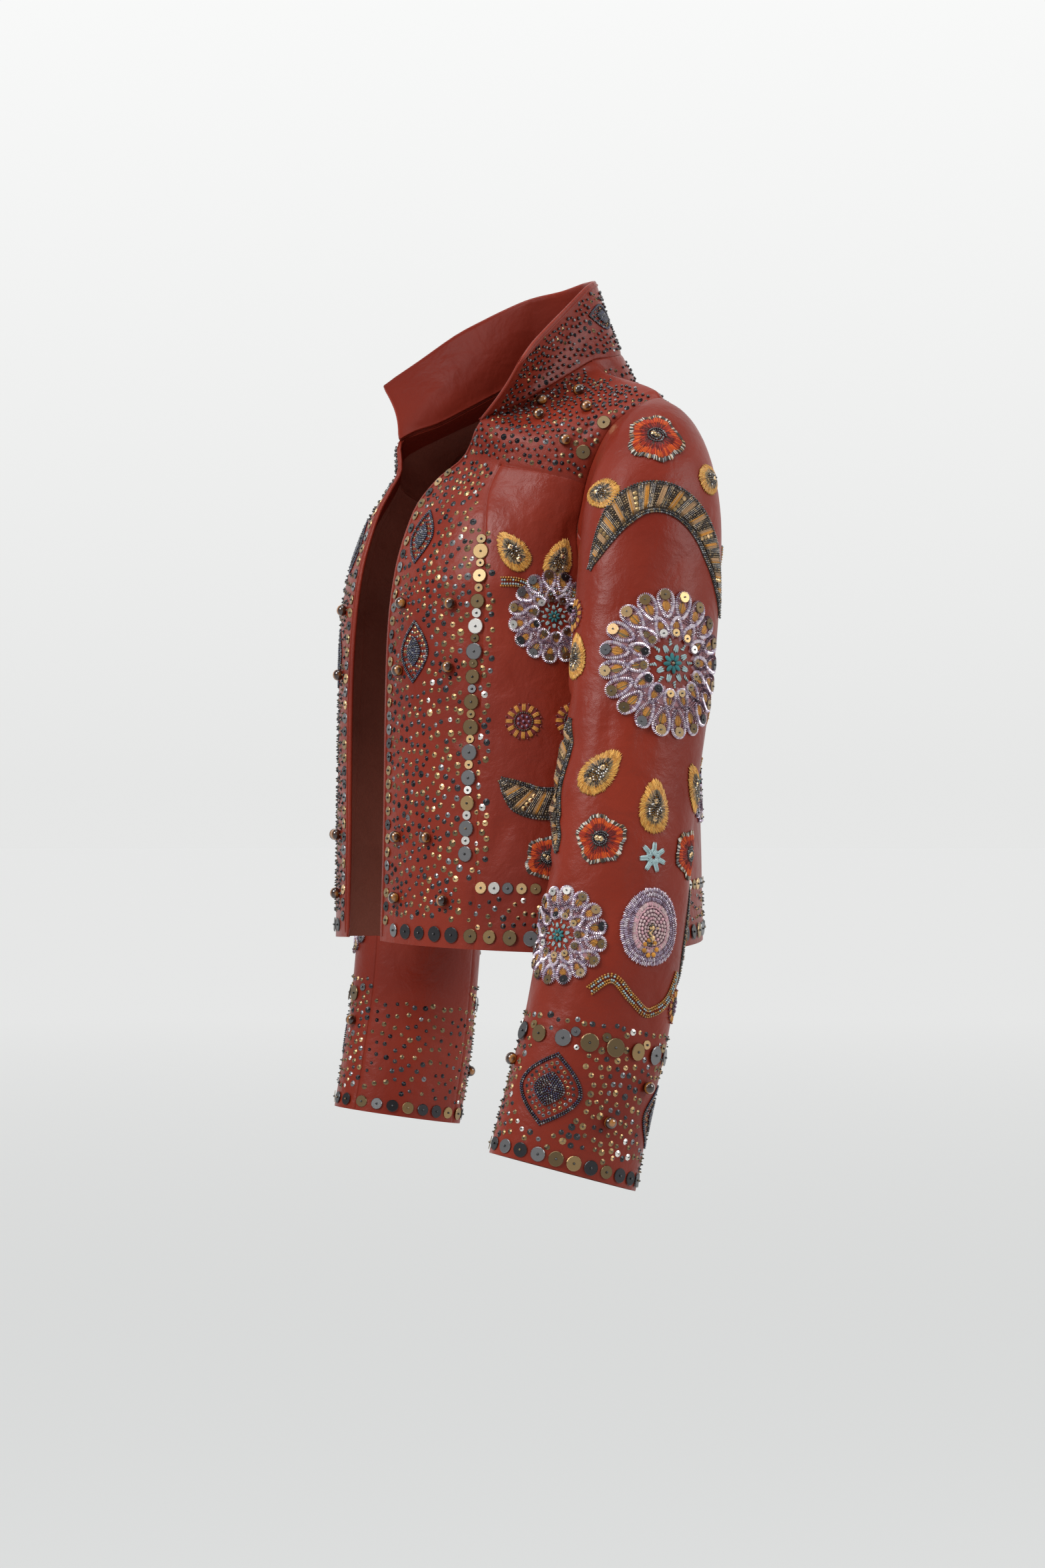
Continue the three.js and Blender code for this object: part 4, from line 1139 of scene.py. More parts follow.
def rosette(radius, outer, inner):
    """A rosette with some petals in its outer and its inner ring."""
    design = Design()
    waist, eye = 0.63 * radius, 0.37 * radius
    around = full_turn(outer * 8)
    design.pad(polar(radius * (0.87 + 0.08 * np.cos(outer * around)), around), 0.9, ROSE, 0.41)
    for count, end, pitch in ((outer, radius, 1.45), (inner, eye, 1.35)):
        half = 0.97 * math.pi * (waist * 0.35 + end * 0.65) / count
        outline = petal_line(waist, end, half)
        span = end - waist
        for turn in full_turn(count):
            edge = turned(outline, turn)
            design.line("pearl", CUP, edge, pitch, (3.1, 3.1, 0.7), ((PEARL, 3), (LILAC, 2)), 1.7, 1.0, True)
            design.line("glass", PIP, turned(shrunk(outline, 0.72), turn), 1.65, 1.6,
                        ((ROSE, 3), (MAUVE, 2), (PEARL, 1)), 1.3, 0, True)
            silk_tongue(design, waist + 0.1 * span, waist + 0.68 * span, half * 0.5, turn,
                        ((HONEY, 3), (OLIVE, 1)))
            spot = turned(np.array([[waist + 0.82 * span, 0.0]]), turn)
            across = 1.2 * half
            design.add("metal", PLATE, spot, 0, (across, across, 0.5), shades(TIP_PLATES, 1), 2.2)
            design.add("glass", SEED, spot, 0, 1.7, shades(GUNMETAL, 1), 2.9)
    for share in (0.94, 1.0, 1.06):
        ring = polar(waist * share, full_turn(90))
        design.line("glass", PIP, ring, 1.7, 1.7, ((ROSE, 3), (MAUVE, 2), (PEARL, 1), (PLUM, 1)), 1.4, 0,
                    True)
    teal_flower(design, 0.33 * radius)
    return design


# %% [markdown]
# ### Leaves, poppies and other flowers
#
# These are worked in silk and wool, in long stitches that run out from the middle: first the
# ground, then a darker or paler ring over it, then beads. Stitches of uneven length and tone are
# what make them look like thread, so each one varies.


# %% Stitched rings
def stitch_ring(design, outline, share, length, palette, lift, finish="silk", wide=1.25, pitch=0.95,
                slant=0.0):
    """A ring of stitches across an outline, drawn a share of the way from its middle."""
    spots, _ = even(outline * share, pitch, True)
    count = len(spots)
    angle = np.arctan2(spots[:, 1], spots[:, 0]) + slant + rng.uniform(-0.16, 0.16, count)
    size = np.c_[length * rng.uniform(0.8, 1.25, count), np.full(count, wide), np.full(count, 1.0)]
    spots = spots * (1 + rng.uniform(-0.02, 0.02, (count, 1)))
    design.add(finish, STITCH, spots, angle, size, shades(palette, count, 0.22), lift, 0.12)


def bead_heap(design, outline, share, pitch, palette, lift, size=1.7):
    """Beads over the inner part of an outline, row by row."""
    for ring in np.arange(share, 0.04, -share / max(1, round(share * np.abs(outline).max() / pitch))):
        design.line("glass", SEED, outline * ring, pitch, size, palette, lift, 0, True)


# %% Leaves
def leaf_line(length, width, blunt=0.9, points=56):
    """The outline of a leaf along X, round at one end and pointed at the other."""
    turn = full_turn(points)
    share = (1 - np.cos(turn)) / 2
    side = np.sign(np.sin(turn)) * np.abs(np.sin(turn)) ** blunt
    return np.stack([length * (share - 0.46), width / 2 * side * (1.22 - 0.62 * share)], axis=1)


def leaf(length, width, sequins=2, blunt=0.9):
    design = Design()
    outline = leaf_line(length, width, blunt)
    design.pad(outline * 0.9, 1.1, HONEY)
    stitch_ring(design, outline, 0.87, width * 0.27, ((STRAW, 3), (HONEY, 2)), 1.0, slant=0.3)
    stitch_ring(design, outline, 0.7, width * 0.25, ((STRAW, 2), (HONEY, 3)), 1.5, slant=0.25)
    stitch_ring(design, outline, 0.56, width * 0.24, ((OLIVE, 3), (BARK, 3), (CAMEL, 1)), 1.9, slant=0.1)
    bead_heap(design, outline, 0.42, 2.0, ((BARK, 3), (JET, 2), (BRONZE, 2), (SILVER, 1)), 2.3)
    along = np.linspace(-0.2, 0.12, sequins) * length
    spots = np.stack([along, np.zeros(sequins)], axis=1)
    design.add("metal", CUP, spots, 0, (4.6, 4.6, 1.2), shades(((GOLD, 2), (BRONZE, 1)), sequins), 3.1)
    design.add("glass", SEED, spots, 0, 1.6, shades(GUNMETAL, sequins), 4.0)
    return design


# %% Poppies, daisies and medallions
def poppy(radius, lobes=5, phase=0.4):
    design = Design()
    around = full_turn(90)
    waves = (0.07 * np.cos(lobes * around + phase) + 0.04 * np.cos(3 * around + 2 * phase)
             + 0.02 * np.cos(13 * around))
    outline = polar(radius * (0.9 + waves), around)
    design.pad(outline * 0.93, 1.1, EMBER)
    rim = ((CHALK, 2), (CAMEL, 1), (BARK, 4), (PEWTER, 1))
    stitch_ring(design, outline, 0.94, radius * 0.19, rim, 1.1, "wool", 1.2, 0.85)
    stitch_ring(design, outline, 0.74, radius * 0.36, ((SUNSET, 3), (EMBER, 3)), 1.5, "wool", 1.3, 0.9)
    stitch_ring(design, outline, 0.54, radius * 0.34, ((EMBER, 3), (CRIMSON, 4)), 1.9, "wool", 1.3, 0.9)
    stitch_ring(design, outline, 0.4, radius * 0.26, ((CRIMSON, 2), (MAROON, 3), (BARK, 2)), 2.2, "wool",
                1.2, 0.9)
    coil = polar(radius * np.linspace(0.3, 0.07, 120), np.linspace(0, 5.2 * math.pi, 120))
    design.line("glass", SEED, coil, 1.6, 2.0, ((JET, 3), (GUNMETAL, 3), (PEWTER, 1)), 2.9)
    spots = polar(radius * np.array([0.02, 0.12]), np.array([0.0, 2.4]))
    design.add("metal", CUP, spots, 0, (4.6, 4.6, 1.2), shades(((GOLD, 1), (BRONZE, 2)), 2), 3.9)
    design.add("glass", SEED, spots, 0, 1.7, shades(BRONZE, 2), 4.9)
    return design


def daisy(radius, petals=12):
    design = Design()
    turn = full_turn(petals)
    design.pad(polar(np.full(48, radius * 0.9), full_turn(48)), 0.8, MAROON)
    for offset in (-1, 0, 1):
        spots = polar(radius * 0.72, turn) + 1.0 * offset * polar(1, turn + math.pi / 2)
        design.add("silk", STITCH, spots, turn, (radius * 0.46, 1.5, 1.4), shades(HONEY, petals, 0.2), 1.0)
    between = turn + math.pi / petals
    design.add("glass", SEED, polar(radius * 0.92, between), between, 1.9, shades(MAROON, petals), 1.1)
    design.line("glass", SEED, polar(radius * 0.46, full_turn(40)), 1.8, 1.8, BARK, 1.3, 0, True)
    for ring, count in ((0.28, 7), (0.0, 1)):
        spots = polar(np.full(count, radius * ring), full_turn(count))
        design.add("glass", GEM, spots, 0, (2.7, 2.7, 2.4), shades(PLUM, count, 0.3), 1.8)
    return design


def medallion(radius, tall):
    """A pink round: bugle beads set like rays, then a satin ring, knots of wool and a gold heart."""
    design = Design()
    around = full_turn(96)
    stretch = np.array([1.0, tall])
    outline = polar(radius * (0.97 + 0.03 * np.cos(3 * around + 1)), around) * stretch
    design.pad(outline * 0.95, 0.9, MAUVE)
    for share, palette in ((0.93, ((PEARL, 2), (LILAC, 2))), (0.82, ((PEARL, 2), (LILAC, 3))),
                           (0.71, ((LILAC, 3), (PLUM, 1)))):
        stitch_ring(design, outline, share, radius * 0.13, palette, 1.2, "pearl", 1.4, 1.5)
    stitch_ring(design, outline, 0.59, radius * 0.16, ((BLUSH, 3), (PINK, 2)), 1.3, wide=1.3)
    stitch_ring(design, outline, 0.51, radius * 0.06, PINK, 1.7, wide=1.2)
    for share in (0.43, 0.34, 0.25, 0.16):
        design.line("wool", GEM, outline * share, 3.0, (3.0, 2.5, 2.3), ((BLUSH, 3), (PINK, 1)), 1.5, 0, True)
    heart = np.stack([rng.normal(0, radius * 0.07, 34), rng.uniform(-0.55, 0.1, 34) * radius], axis=1)
    heart_palette = ((BARK, 3), (BRONZE, 2), (GOLD, 1), (JET, 2))
    design.add("glass", SEED, heart, 0, 2.0, shades(heart_palette, 34), rng.uniform(2.4, 3.2, 34))
    spots = np.array([0, -0.56 * radius]) + polar(radius * 0.2, full_turn(7))
    design.add("wool", GEM, spots, 0, (4.2, 4.2, 3.0), shades(HONEY, 7, 0.3), 2.2)
    spots = np.stack([[0.5, -1.0, 1.4], np.array([0.0, -0.14, -0.28]) * radius], axis=1)
    design.add("metal", CUP, spots, 0, (4.8, 4.8, 1.2), shades(((GOLD, 2), (OLD_GOLD, 1)), 3), 3.4)
    return design


# %% [markdown]
# ### Banded scrolls and tendrils
#
# A scroll is a curved band between two edges of silvery black beads, two beads wide. Bars of
# camel wool cross it, with bronze beads and bugles between them and now and then a gold sequin. A
# tendril is thinner: gold beads on both sides of pale blue ones.


# %% Lines along a panel
def spline(points, count=160):
    """A smooth line through rows and columns."""
    points = np.array(points, float)
    return through(np.arange(len(points)), points, np.linspace(0, len(points) - 1, count)).T


def spaced(panel, line, pitch):
    """Places a pitch apart along a line, with their headings, sideways directions and shares of the way."""
    rows, columns = line
    points = panel.at(rows, columns)
    run = np.concatenate([[0], np.cumsum(np.linalg.norm(np.diff(points, axis=0), axis=1))])
    wanted = np.arange(pitch / 2, run[-1], pitch)
    rows, columns = np.interp(wanted, run, rows), np.interp(wanted, run, columns)
    spots, _, _, out = panel.frame(rows, columns)
    along = unit(np.gradient(spots, axis=0))
    return rows, columns, along, unit(np.cross(out, along)), wanted / run[-1]


def beside(panel, rows, columns, side, distance):
    """The rows and columns some way to the side of a line. The distance may be negative."""
    distance = np.broadcast_to(distance, (len(rows),)).astype(float)
    heading = side * np.where(distance < 0, -1, 1)[:, None]
    return panel.walk(rows, columns, heading, np.abs(distance) + 1e-6)


def sew_row(panel, finish, shape, line, offset, pitch, size, palette, lift, phase=0.0):
    """One row of beads beside a line."""
    rows, columns, along, side, share = spaced(panel, line, pitch)
    width = offset(share) if callable(offset) else offset
    rows, columns = beside(panel, rows, columns, side, width)
    ahead = panel.walk(rows, columns, along, np.full(len(rows), 0.4))
    moved = panel.walk(rows, columns, along, np.full(len(rows), phase * pitch + 1e-6))
    keep = panel.holds(*moved)
    sew(panel, finish, shape, moved[0][keep], moved[1][keep], size, shades(palette, len(rows))[keep],
        lift, 0.0,
        (ahead[0][keep] + moved[0][keep] - rows[keep], ahead[1][keep] + moved[1][keep] - columns[keep]))


# %% Scrolls
EDGE_BEAD = 2.0
SCROLL_STEP = 4.2
SCROLL_EDGE = ((GUNMETAL, 3), (JET, 3), (PEWTER, 2), (BRONZE, 2))
BAND_PARTS = ("bar", "bugles", "seeds", "bar", "bugles", "seeds", "bar", "sequins", "bugles")
BAND_KINDS = {
    "bar": (STITCH, "wool", (0, 1.5, 1.8), ((CAMEL, 4), (HONEY, 1)), 4, 1.5),
    "bugles": (BUGLE, "glass", (2.7, 1.3, 1.3), ((BRONZE, 4), (BARK, 4), (GUNMETAL, 1)), 3, 1.8),
    "seeds": (PIP, "glass", (1.9, 1.9, 1.9), ((BRONZE, 3), (BARK, 3), (OLD_GOLD, 1)), 2, 1.8),
    "sequins": (CUP, "metal", (4.2, 4.2, 1.1), ((GOLD, 2), (OLD_GOLD, 2)), 1, 2.0),
}
BAND_PROFILE = ((-1.0, -0.3), (-0.94, 1.0), (-0.4, 1.4), (0.4, 1.4), (0.94, 1.0), (1.0, -0.3))


def band(panel, line, half, profile, colour):
    """A strip of felt along a line, domed across."""
    rows, columns, _, side, share = spaced(panel, line, 3.0)
    width = half(share)
    lanes = [beside(panel, rows, columns, side, width * part) for part, _ in profile]
    points = np.stack([panel.at(*lane, SKIN + high) for lane, (_, high) in zip(lanes, profile)], axis=1)
    count, across = points.shape[:2]
    a = (np.arange(count - 1)[:, None] * across + np.arange(across - 1)).ravel()
    triangles = np.concatenate([np.c_[a, a + across, a + across + 1], np.c_[a, a + across + 1, a + 1]])
    tray(panel, "felt").keep(points.reshape(1, -1, 3), triangles, colour)


def scroll(panel, points, half):
    """A banded scroll along some rows and columns, tapered at both ends."""
    line = spline(points)

    def taper(share):
        return half * np.clip(1.25 * np.sin(math.pi * np.clip(share, 0, 1)) ** 0.7, 0.2, 1)

    band(panel, line, taper, BAND_PROFILE, BARK)
    for hand in (-1, 1):
        for k in range(2):
            def edge(share, hand=hand, k=k):
                return hand * (taper(share) - EDGE_BEAD * (0.35 + 0.85 * k))

            sew_row(panel, "glass", PIP, line, edge, EDGE_BEAD, EDGE_BEAD + 0.15, SCROLL_EDGE,
                    1.0 + 0.35 * k, 0.5 * k)
    rows, columns, along, side, share = spaced(panel, line, SCROLL_STEP)
    inner = taper(share) - 1.8 * EDGE_BEAD
    slant = unit(side + 0.35 * along)
    for part, (shape, finish, size, palette, lanes, lift) in BAND_KINDS.items():
        steps = [k for k in range(len(rows)) if inner[k] > 1.5 and BAND_PARTS[k % len(BAND_PARTS)] == part]
        gap = size[0] + 0.25
        spots = [
            (k, (lane - (lanes - 1) / 2) * SCROLL_STEP / lanes, across)
            for k in steps
            for lane in range(lanes)
            for across in ([0.0] if part == "bar" else np.arange(gap / 2 - inner[k], inner[k], gap))
        ]
        if not spots:
            continue
        k, lane, across = (np.array(column) for column in zip(*spots))
        start = beside(panel, rows[k], columns[k], along[k], lane)
        at = beside(panel, *start, slant[k], across)
        ahead = beside(panel, *at, slant[k], np.full(len(k), 0.4))
        sizes = np.tile(np.array(size, float), (len(k), 1))
        if part == "bar":
            sizes[:, 0] = 2 * inner[k] + 3.5
        keep = panel.holds(*at)
        sew(panel, finish, shape, at[0][keep], at[1][keep], sizes[keep],
            shades(palette, len(k), 0.2)[keep], lift, 0,
            (ahead[0][keep], ahead[1][keep]))


# %% Tendrils
def tendril(panel, points):
    """Gold beads on both sides of pale blue ones, along some rows and columns."""
    line = spline(points)
    gold = ((AMBER, 3), (OLD_GOLD, 2), (HONEY, 2))
    for offset in (-3.3, 3.3):
        sew_row(panel, "glass", PIP, line, offset, 2.0, 2.1, gold, 0.8)
    for offset in (-1.5, 1.5):
        sew_row(panel, "glass", PIP, line, offset, 2.1, 2.2, ((SKY, 3), (AMBER, 2)), 1.2, 0.5)

# %% [markdown]
# ### Ogees and scattered sequins
#
# Pointed ovals of night-blue beads stand between the rows of sequins. The sequins themselves fill
# whole fields: they are tried one by one along wavy rows, and each is kept only where there is
# room, so that the rows part round every motif and meet again behind it, as they do when someone
# sews them on by eye.


# %% Ogees
NIGHT_SEEDS = ((NIGHT, 4), (GUNMETAL, 2), (JET, 2), (PEWTER, 1))


def ogee(wide, tall):
    design = Design()
    turn = full_turn(72)
    bulge = np.sign(np.cos(turn)) * np.abs(np.cos(turn)) ** 2.1
    height = np.sign(np.sin(turn)) * np.abs(np.sin(turn)) ** 1.15
    outline = np.stack([wide / 2 * bulge, tall / 2 * height], axis=1)
    for share in (1.0, 0.93):
        design.line("glass", PIP, outline * share, 1.9, 2.1, NIGHT_SEEDS, 0.7, 0, True)
    for share, size in ((0.76, 3.8), (0.6, 3.4)):
        design.line("metal", CUP, outline * share, 4.9, (size, size, 1.1),
                    ((PEWTER, 3), (OLD_GOLD, 2), (GUNMETAL, 2)),
                    0.3, 0, True)
        design.line("glass", PIP, outline * share, 4.9, 1.6, JET, 1.2, 0, True)
    bead_heap(design, outline, 0.47, 2.0, NIGHT_SEEDS, 0.9, 2.0)
    return design


# %% Room on a panel
taken = {name: [] for name in panels}


def take(panel, row, column, radius):
    """Marks discs on a panel as full."""
    spots = panel.at(np.atleast_1d(row), np.atleast_1d(column))
    if len(spots):
        taken[panel.name].append(np.c_[spots, np.broadcast_to(radius, (len(spots),))])


def roomy(panel, spots, radius):
    """True for each spot that has room round it."""
    free = np.ones(len(spots), bool)
    for discs in taken[panel.name]:
        gaps = np.linalg.norm(spots[:, None] - discs[None, :, :3], axis=-1) - discs[:, 3]
        free &= gaps.min(axis=1) > radius
    return free


def spread(panel, rows, columns, pitch):
    """Places at least a pitch apart in a field, along wavy rows, wherever there is room."""
    down = np.arange(rows[0], rows[1], 0.72 * pitch / panel.row_pitch)
    over = np.arange(columns[0], columns[1], 0.5 * pitch / panel.column_pitch)
    row, column = (grid.ravel() for grid in np.meshgrid(down, over, indexing="ij"))
    row = row + 0.16 * np.sin(1.7 * column + 0.9 * row) + rng.uniform(-0.05, 0.05, len(row))
    column = column + rng.uniform(-0.06, 0.06, len(column))
    inside = (row > rows[0]) & (row < rows[1]) & (column > columns[0]) & (column < columns[1])
    row, column = row[inside], column[inside]
    spots = panel.at(row, column)
    kept = []
    for k in np.flatnonzero(roomy(panel, spots, 0.5 * pitch)):
        if not kept or np.linalg.norm(spots[kept] - spots[k], axis=1).min() > pitch:
            kept.append(k)
    return row[kept], column[kept]


def sequins(panel, row, column, wide, palette, heart=DARK_SEEDS, plate=False):
    """Cup sequins or flat plates, each held by a bead in its middle."""
    count = len(row)
    wide = np.broadcast_to(wide, (count,)) * rng.uniform(0.92, 1.08, count)
    tilt = rng.uniform(-0.12, 0.12, count)
    high = 0.5 if plate else 1.2
    shape, rise = (PLATE, 0.35 + 0.006 * wide**2) if plate else (CUP, 0.6)
    sew(panel, "metal", shape, row, column, np.c_[wide, wide, np.full(count, high)],
        shades(palette, count), rise, tilt)
    bead = np.where(wide > 7, 2.3, 1.75)[:, None]
    sew(panel, "glass", PIP, row, column, np.repeat(bead, 3, axis=1), shades(heart, count), rise + 0.75)


def stretch(panel, ends, pitch):
    """Places a pitch apart on a line between two places of a panel."""
    line = np.linspace(*np.array(ends, float), 60).T
    return spaced(panel, line, pitch)[:2]


# %% [markdown]
# ## The layout
#
# Tables say where each motif goes, by the row and column of its panel. Both sleeves carry the same
# garden, and so do both fronts. Turns are for the left side, and the right side mirrors them.

# %% Tables of motifs
Motif = namedtuple("Motif", "row column kind size turn")
SLEEVE_MOTIFS = [
    Motif(12.4, 12.6, "rosette", (60, 20, 14), 12), Motif(23.4, 7.6, "rosette", (39, 16, 11), 40),
    Motif(22.6, 12.8, "medallion", (29, 1.14), 0), Motif(4.2, 11.4, "poppy", (25,), 0),
    Motif(4.9, 8.2, "leaf", (40, 24), 150), Motif(4.9, 14.8, "leaf", (40, 24), 30),
    Motif(17.9, 12.4, "leaf", (44, 26), 90), Motif(16.6, 9.2, "leaf", (44, 26), 50),
    Motif(16.6, 15.8, "leaf", (44, 26), 130), Motif(19.3, 9.6, "poppy", (21,), 30),
    Motif(19.3, 15.4, "poppy", (21,), 70), Motif(11.0, 6.6, "leaf", (38, 24), 90),
    Motif(12.2, 18.2, "leaf", (38, 24), 90), Motif(19.8, 12.5, "sprig", (13,), 0),
    Motif(25.6, 16.2, "daisy", (15,), 0), Motif(8.6, 5.9, "daisy", (15,), 0),
]
FRONT_MOTIFS = [
    Motif(9.9, 9.1, "rosette", (37, 15, 10), 20), Motif(2.9, 9.1, "poppy", (19,), 0),
    Motif(13.0, 7.8, "leaf", (38, 23), 120), Motif(13.0, 10.6, "leaf", (38, 23), 60),
    Motif(7.0, 8.0, "daisy", (16,), 0), Motif(7.0, 10.2, "daisy", (16,), 0),
    Motif(9.0, 2.5, "ogee", (34, 52), 0), Motif(12.9, 1.9, "ogee", (30, 48), 0),
]
BACK_MOTIFS = [
    Motif(13.0, 18.0, "rosette", (47, 18, 12), 0), Motif(5.4, 9.4, "rosette", (37, 15, 10), 0),
    Motif(5.4, 26.6, "rosette", (37, 15, 10), 0), Motif(12.0, 6.4, "poppy", (22,), 0),
    Motif(12.0, 29.6, "poppy", (22,), 0), Motif(9.0, 3.4, "leaf", (44, 26), 70),
    Motif(9.0, 32.6, "leaf", (44, 26), 110),
    Motif(17.6, 18.0, "ogee", (40, 58), 90), Motif(4.2, 18.0, "ogee", (44, 84), 0),
    Motif(8.4, 15.4, "leaf", (42, 25), 130),
    Motif(8.4, 20.6, "leaf", (42, 25), 50), Motif(14.6, 11.0, "daisy", (17,), 0),
    Motif(14.6, 25.0, "daisy", (17,), 0),
]
CUFF_OGEES = [Motif(30.6, 9.0, "ogee", (52, 58), 0), Motif(30.8, 16.6, "ogee", (44, 52), 0)]
COLLAR_OGEES = [Motif(2.7, 15.4, "ogee", (22, 40), 90), Motif(2.7, 6.6, "ogee", (22, 40), 90)]
SCROLL_HALF = 13.5
SLEEVE_SCROLLS = [
    [(7.8, 7.4), (6.7, 9.4), (6.8, 12), (7.6, 14.6), (9.2, 16.8)],
    [(19.6, 19), (21.4, 17.6), (23.4, 17.4), (25.2, 18.6)],
    [(13.6, 6.6), (15.6, 5.6), (17.8, 5.6), (19.8, 6.6)],
]
FRONT_SCROLLS = [[(5.4, 7), (4.7, 8.3), (4.7, 9.9), (5.4, 11.2)]]
BACK_SCROLLS = [
    [(9.6, 19), (8.6, 21.2), (8.4, 23.6), (9.6, 25.8), (11.8, 26.6)],
    [(9.6, 17), (8.6, 14.8), (8.4, 12.4), (9.6, 10.2), (11.8, 9.4)],
]
SLEEVE_TENDRILS = [
    [(10.0, 17.9), (9.0, 19.2), (7.4, 19.6), (6.0, 18.8), (5.4, 17.4)],
    [(14.6, 17.6), (16.4, 18.6), (18.0, 18.2), (18.4, 17.2)],
    [(25.6, 9.9), (24.9, 11.0), (25.6, 12.2), (26.1, 13.4), (25.4, 14.8), (24.2, 15.6)],
]
FRONT_TENDRILS = [[(11.9, 6.9), (12.0, 8.2), (11.6, 9.2), (12.0, 10.2), (11.9, 11.3)]]
BACK_TENDRILS = [
    [(11.6, 12.6), (12.8, 12.0), (13.4, 13.0), (12.6, 13.8), (11.8, 13.0)],
    [(11.6, 23.4), (12.8, 24.0), (13.4, 23.0), (12.6, 22.2), (11.8, 23.0)],
]
FRONT_STONES = [(20, 4), (19, 2), (19, 8), (18, 5), (17, 9), (10, 1), (10, 4), (8, 1), (8, 4), (3, 1),
                (3, 3), (1, 1), (1, 4)]
BACK_STONES = [(20, 9), (19, 5), (18, 2)]
SLEEVE_STONES = [(29, 14), (31, 12), (29, 5), (31, 18)]


# %% Sewing the motifs on
def sprig(radius):
    """A pale blue wool flower."""
    design = Design()
    for ring, length in ((0.62, 0.7), (0.3, 0.45)):
        turn = full_turn(7) + ring
        for offset in (-1.2, 0, 1.2):
            spots = polar(radius * ring, turn) + offset * polar(1, turn + math.pi / 2)
            design.add("wool", STITCH, spots, turn, (radius * length, 2.0, 1.6), shades(SKY, 7, 0.25), 0.8)
    return design


MAKERS = {
    "rosette": rosette, "leaf": leaf, "poppy": poppy, "daisy": daisy, "medallion": medallion,
    "ogee": ogee, "sprig": sprig,
}


def sew_motif(panel, motif, hand):
    """Sews one motif on, and marks its place as full."""
    turn = math.radians(motif.turn if hand > 0 else 180 - motif.turn)
    place = (panel, motif.row, motif.column)
    MAKERS[motif.kind](*motif.size).sew(*place, turn)
    reach = {"leaf": 0.45, "medallion": 1.15, "ogee": 0.5}.get(motif.kind, 1.0) * motif.size[0] + 3
    if motif.kind == "ogee":
        along = np.linspace(-0.4, 0.4, 5) * motif.size[1]
        spots = turned(np.stack([np.zeros(5), along], axis=1), turn)
        reach = motif.size[0] * np.array([0.16, 0.4, 0.52, 0.4, 0.16]) + 2
        take(panel, *panel.lay(motif.row, motif.column, 0.0, spots), reach)
    else:
        take(panel, motif.row, motif.column, reach)


def sew_line(panel, line, kind):
    if kind == "scroll":
        scroll(panel, line, SCROLL_HALF)
    else:
        tendril(panel, line)
    take(panel, *spline(line, 24), (SCROLL_HALF if kind == "scroll" else 4) + 2)


for side, hand in (("left", 1), ("right", -1)):
    for motif in SLEEVE_MOTIFS + CUFF_OGEES:
        sew_motif(panels[f"{side}_sleeve"], motif, hand)
    for motif in FRONT_MOTIFS:
        sew_motif(panels[f"{side}_front"], motif, hand)
    for name, table, kind in (("sleeve", SLEEVE_SCROLLS, "scroll"), ("front", FRONT_SCROLLS, "scroll"),
                              ("sleeve", SLEEVE_TENDRILS, "tendril"), ("front", FRONT_TENDRILS, "tendril")):
        for line in table:
            sew_line(panels[f"{side}_{name}"], line, kind)
for motif in BACK_MOTIFS:
    sew_motif(panels["back"], motif, 1)
for motif in COLLAR_OGEES:
    sew_motif(panels["collar"], motif, 1)
for line in BACK_SCROLLS:
    sew_line(panels["back"], line, "scroll")
for line in BACK_TENDRILS:
    sew_line(panels["back"], line, "tendril")
print("motifs sewn on:", 2 * len(SLEEVE_MOTIFS + CUFF_OGEES + FRONT_MOTIFS) + len(BACK_MOTIFS + COLLAR_OGEES))

# %% [markdown]
# ### Stones, plates and fields
#
# Tiger-eye beads stand up from the leather, and those below row 17 each sit in a ring of small
# sequins. Plates mark the edges, and then the fields between are filled.


# %% Stones
def stone(panel, row, column):
    """One round tiger-eye bead standing up from the leather, with sequins round it below row 17."""
    row, column = np.array([row + 0.5]), np.array([column + 0.5])
    spots, right, _, out = panel.frame(row, column)
    tray(panel, "stone").add(STONE, spots + out * 4.2, right, out, (10.2, 10.2, 9.2), shades(AMBER, 1))
    if row[0] < 17:
        ring = panel.lay(row[0], column[0], 0.0, polar(np.full(9, 8.8), full_turn(9)))
        sequins(panel, *ring, 3.8, DARK_CUPS)
    take(panel, row, column, 10 if row[0] < 17 else 6)


for side in ("left", "right"):
    for spot in FRONT_STONES:
        stone(panels[f"{side}_front"], *spot)
    for spot in SLEEVE_STONES:
        stone(panels[f"{side}_sleeve"], *spot)
for row, column in BACK_STONES:
    stone(panels["back"], row, 18 + column)
    stone(panels["back"], row, 17 - column)

# %% Plates and fields
Row = namedtuple("Row", "panel ends pitch wide palette")
FRONT_ROWS = [
    Row("front", ((0.5, 0.58), (15.6, 0.58)), 11.5, 8.8, EDGE_PLATES),
    Row("front", ((2.6, 5.5), (13.4, 5.8)), 21, 13, PLATES),
    Row("front", ((3.02, 5.51), (13.8, 5.81)), 21, 8, PLATES),
    Row("front", ((1.95, 6.0), (1.95, 11.7)), 11.5, 9.5, PLATES),
    Row("front", ((0.42, 0.9), (0.42, 11.8)), 17.5, 12.5, DARK_PLATES),
    Row("front", ((0.42, 1.3), (0.42, 11.8)), 17.5, 7, PLATES),
    Row("front", ((16.5, 11.0), (20.5, 11.4)), 30, 12, DARK_PLATES),
]
SLEEVE_ROWS = [
    Row("sleeve", ((27.9, 5), (27.9, 20.2)), 21, 14.5, DARK_PLATES),
    Row("sleeve", ((27.5, 4.4), (27.5, 20.6)), 12.5, 7.5, PLATES),
    Row("sleeve", ((33.55, 4.3), (33.55, 20.7)), 14.5, 11.5, DARK_PLATES),
    Row("sleeve", ((33.55, 21.3), (33.55, 27.7)), 14.5, 11.5, DARK_PLATES),
]
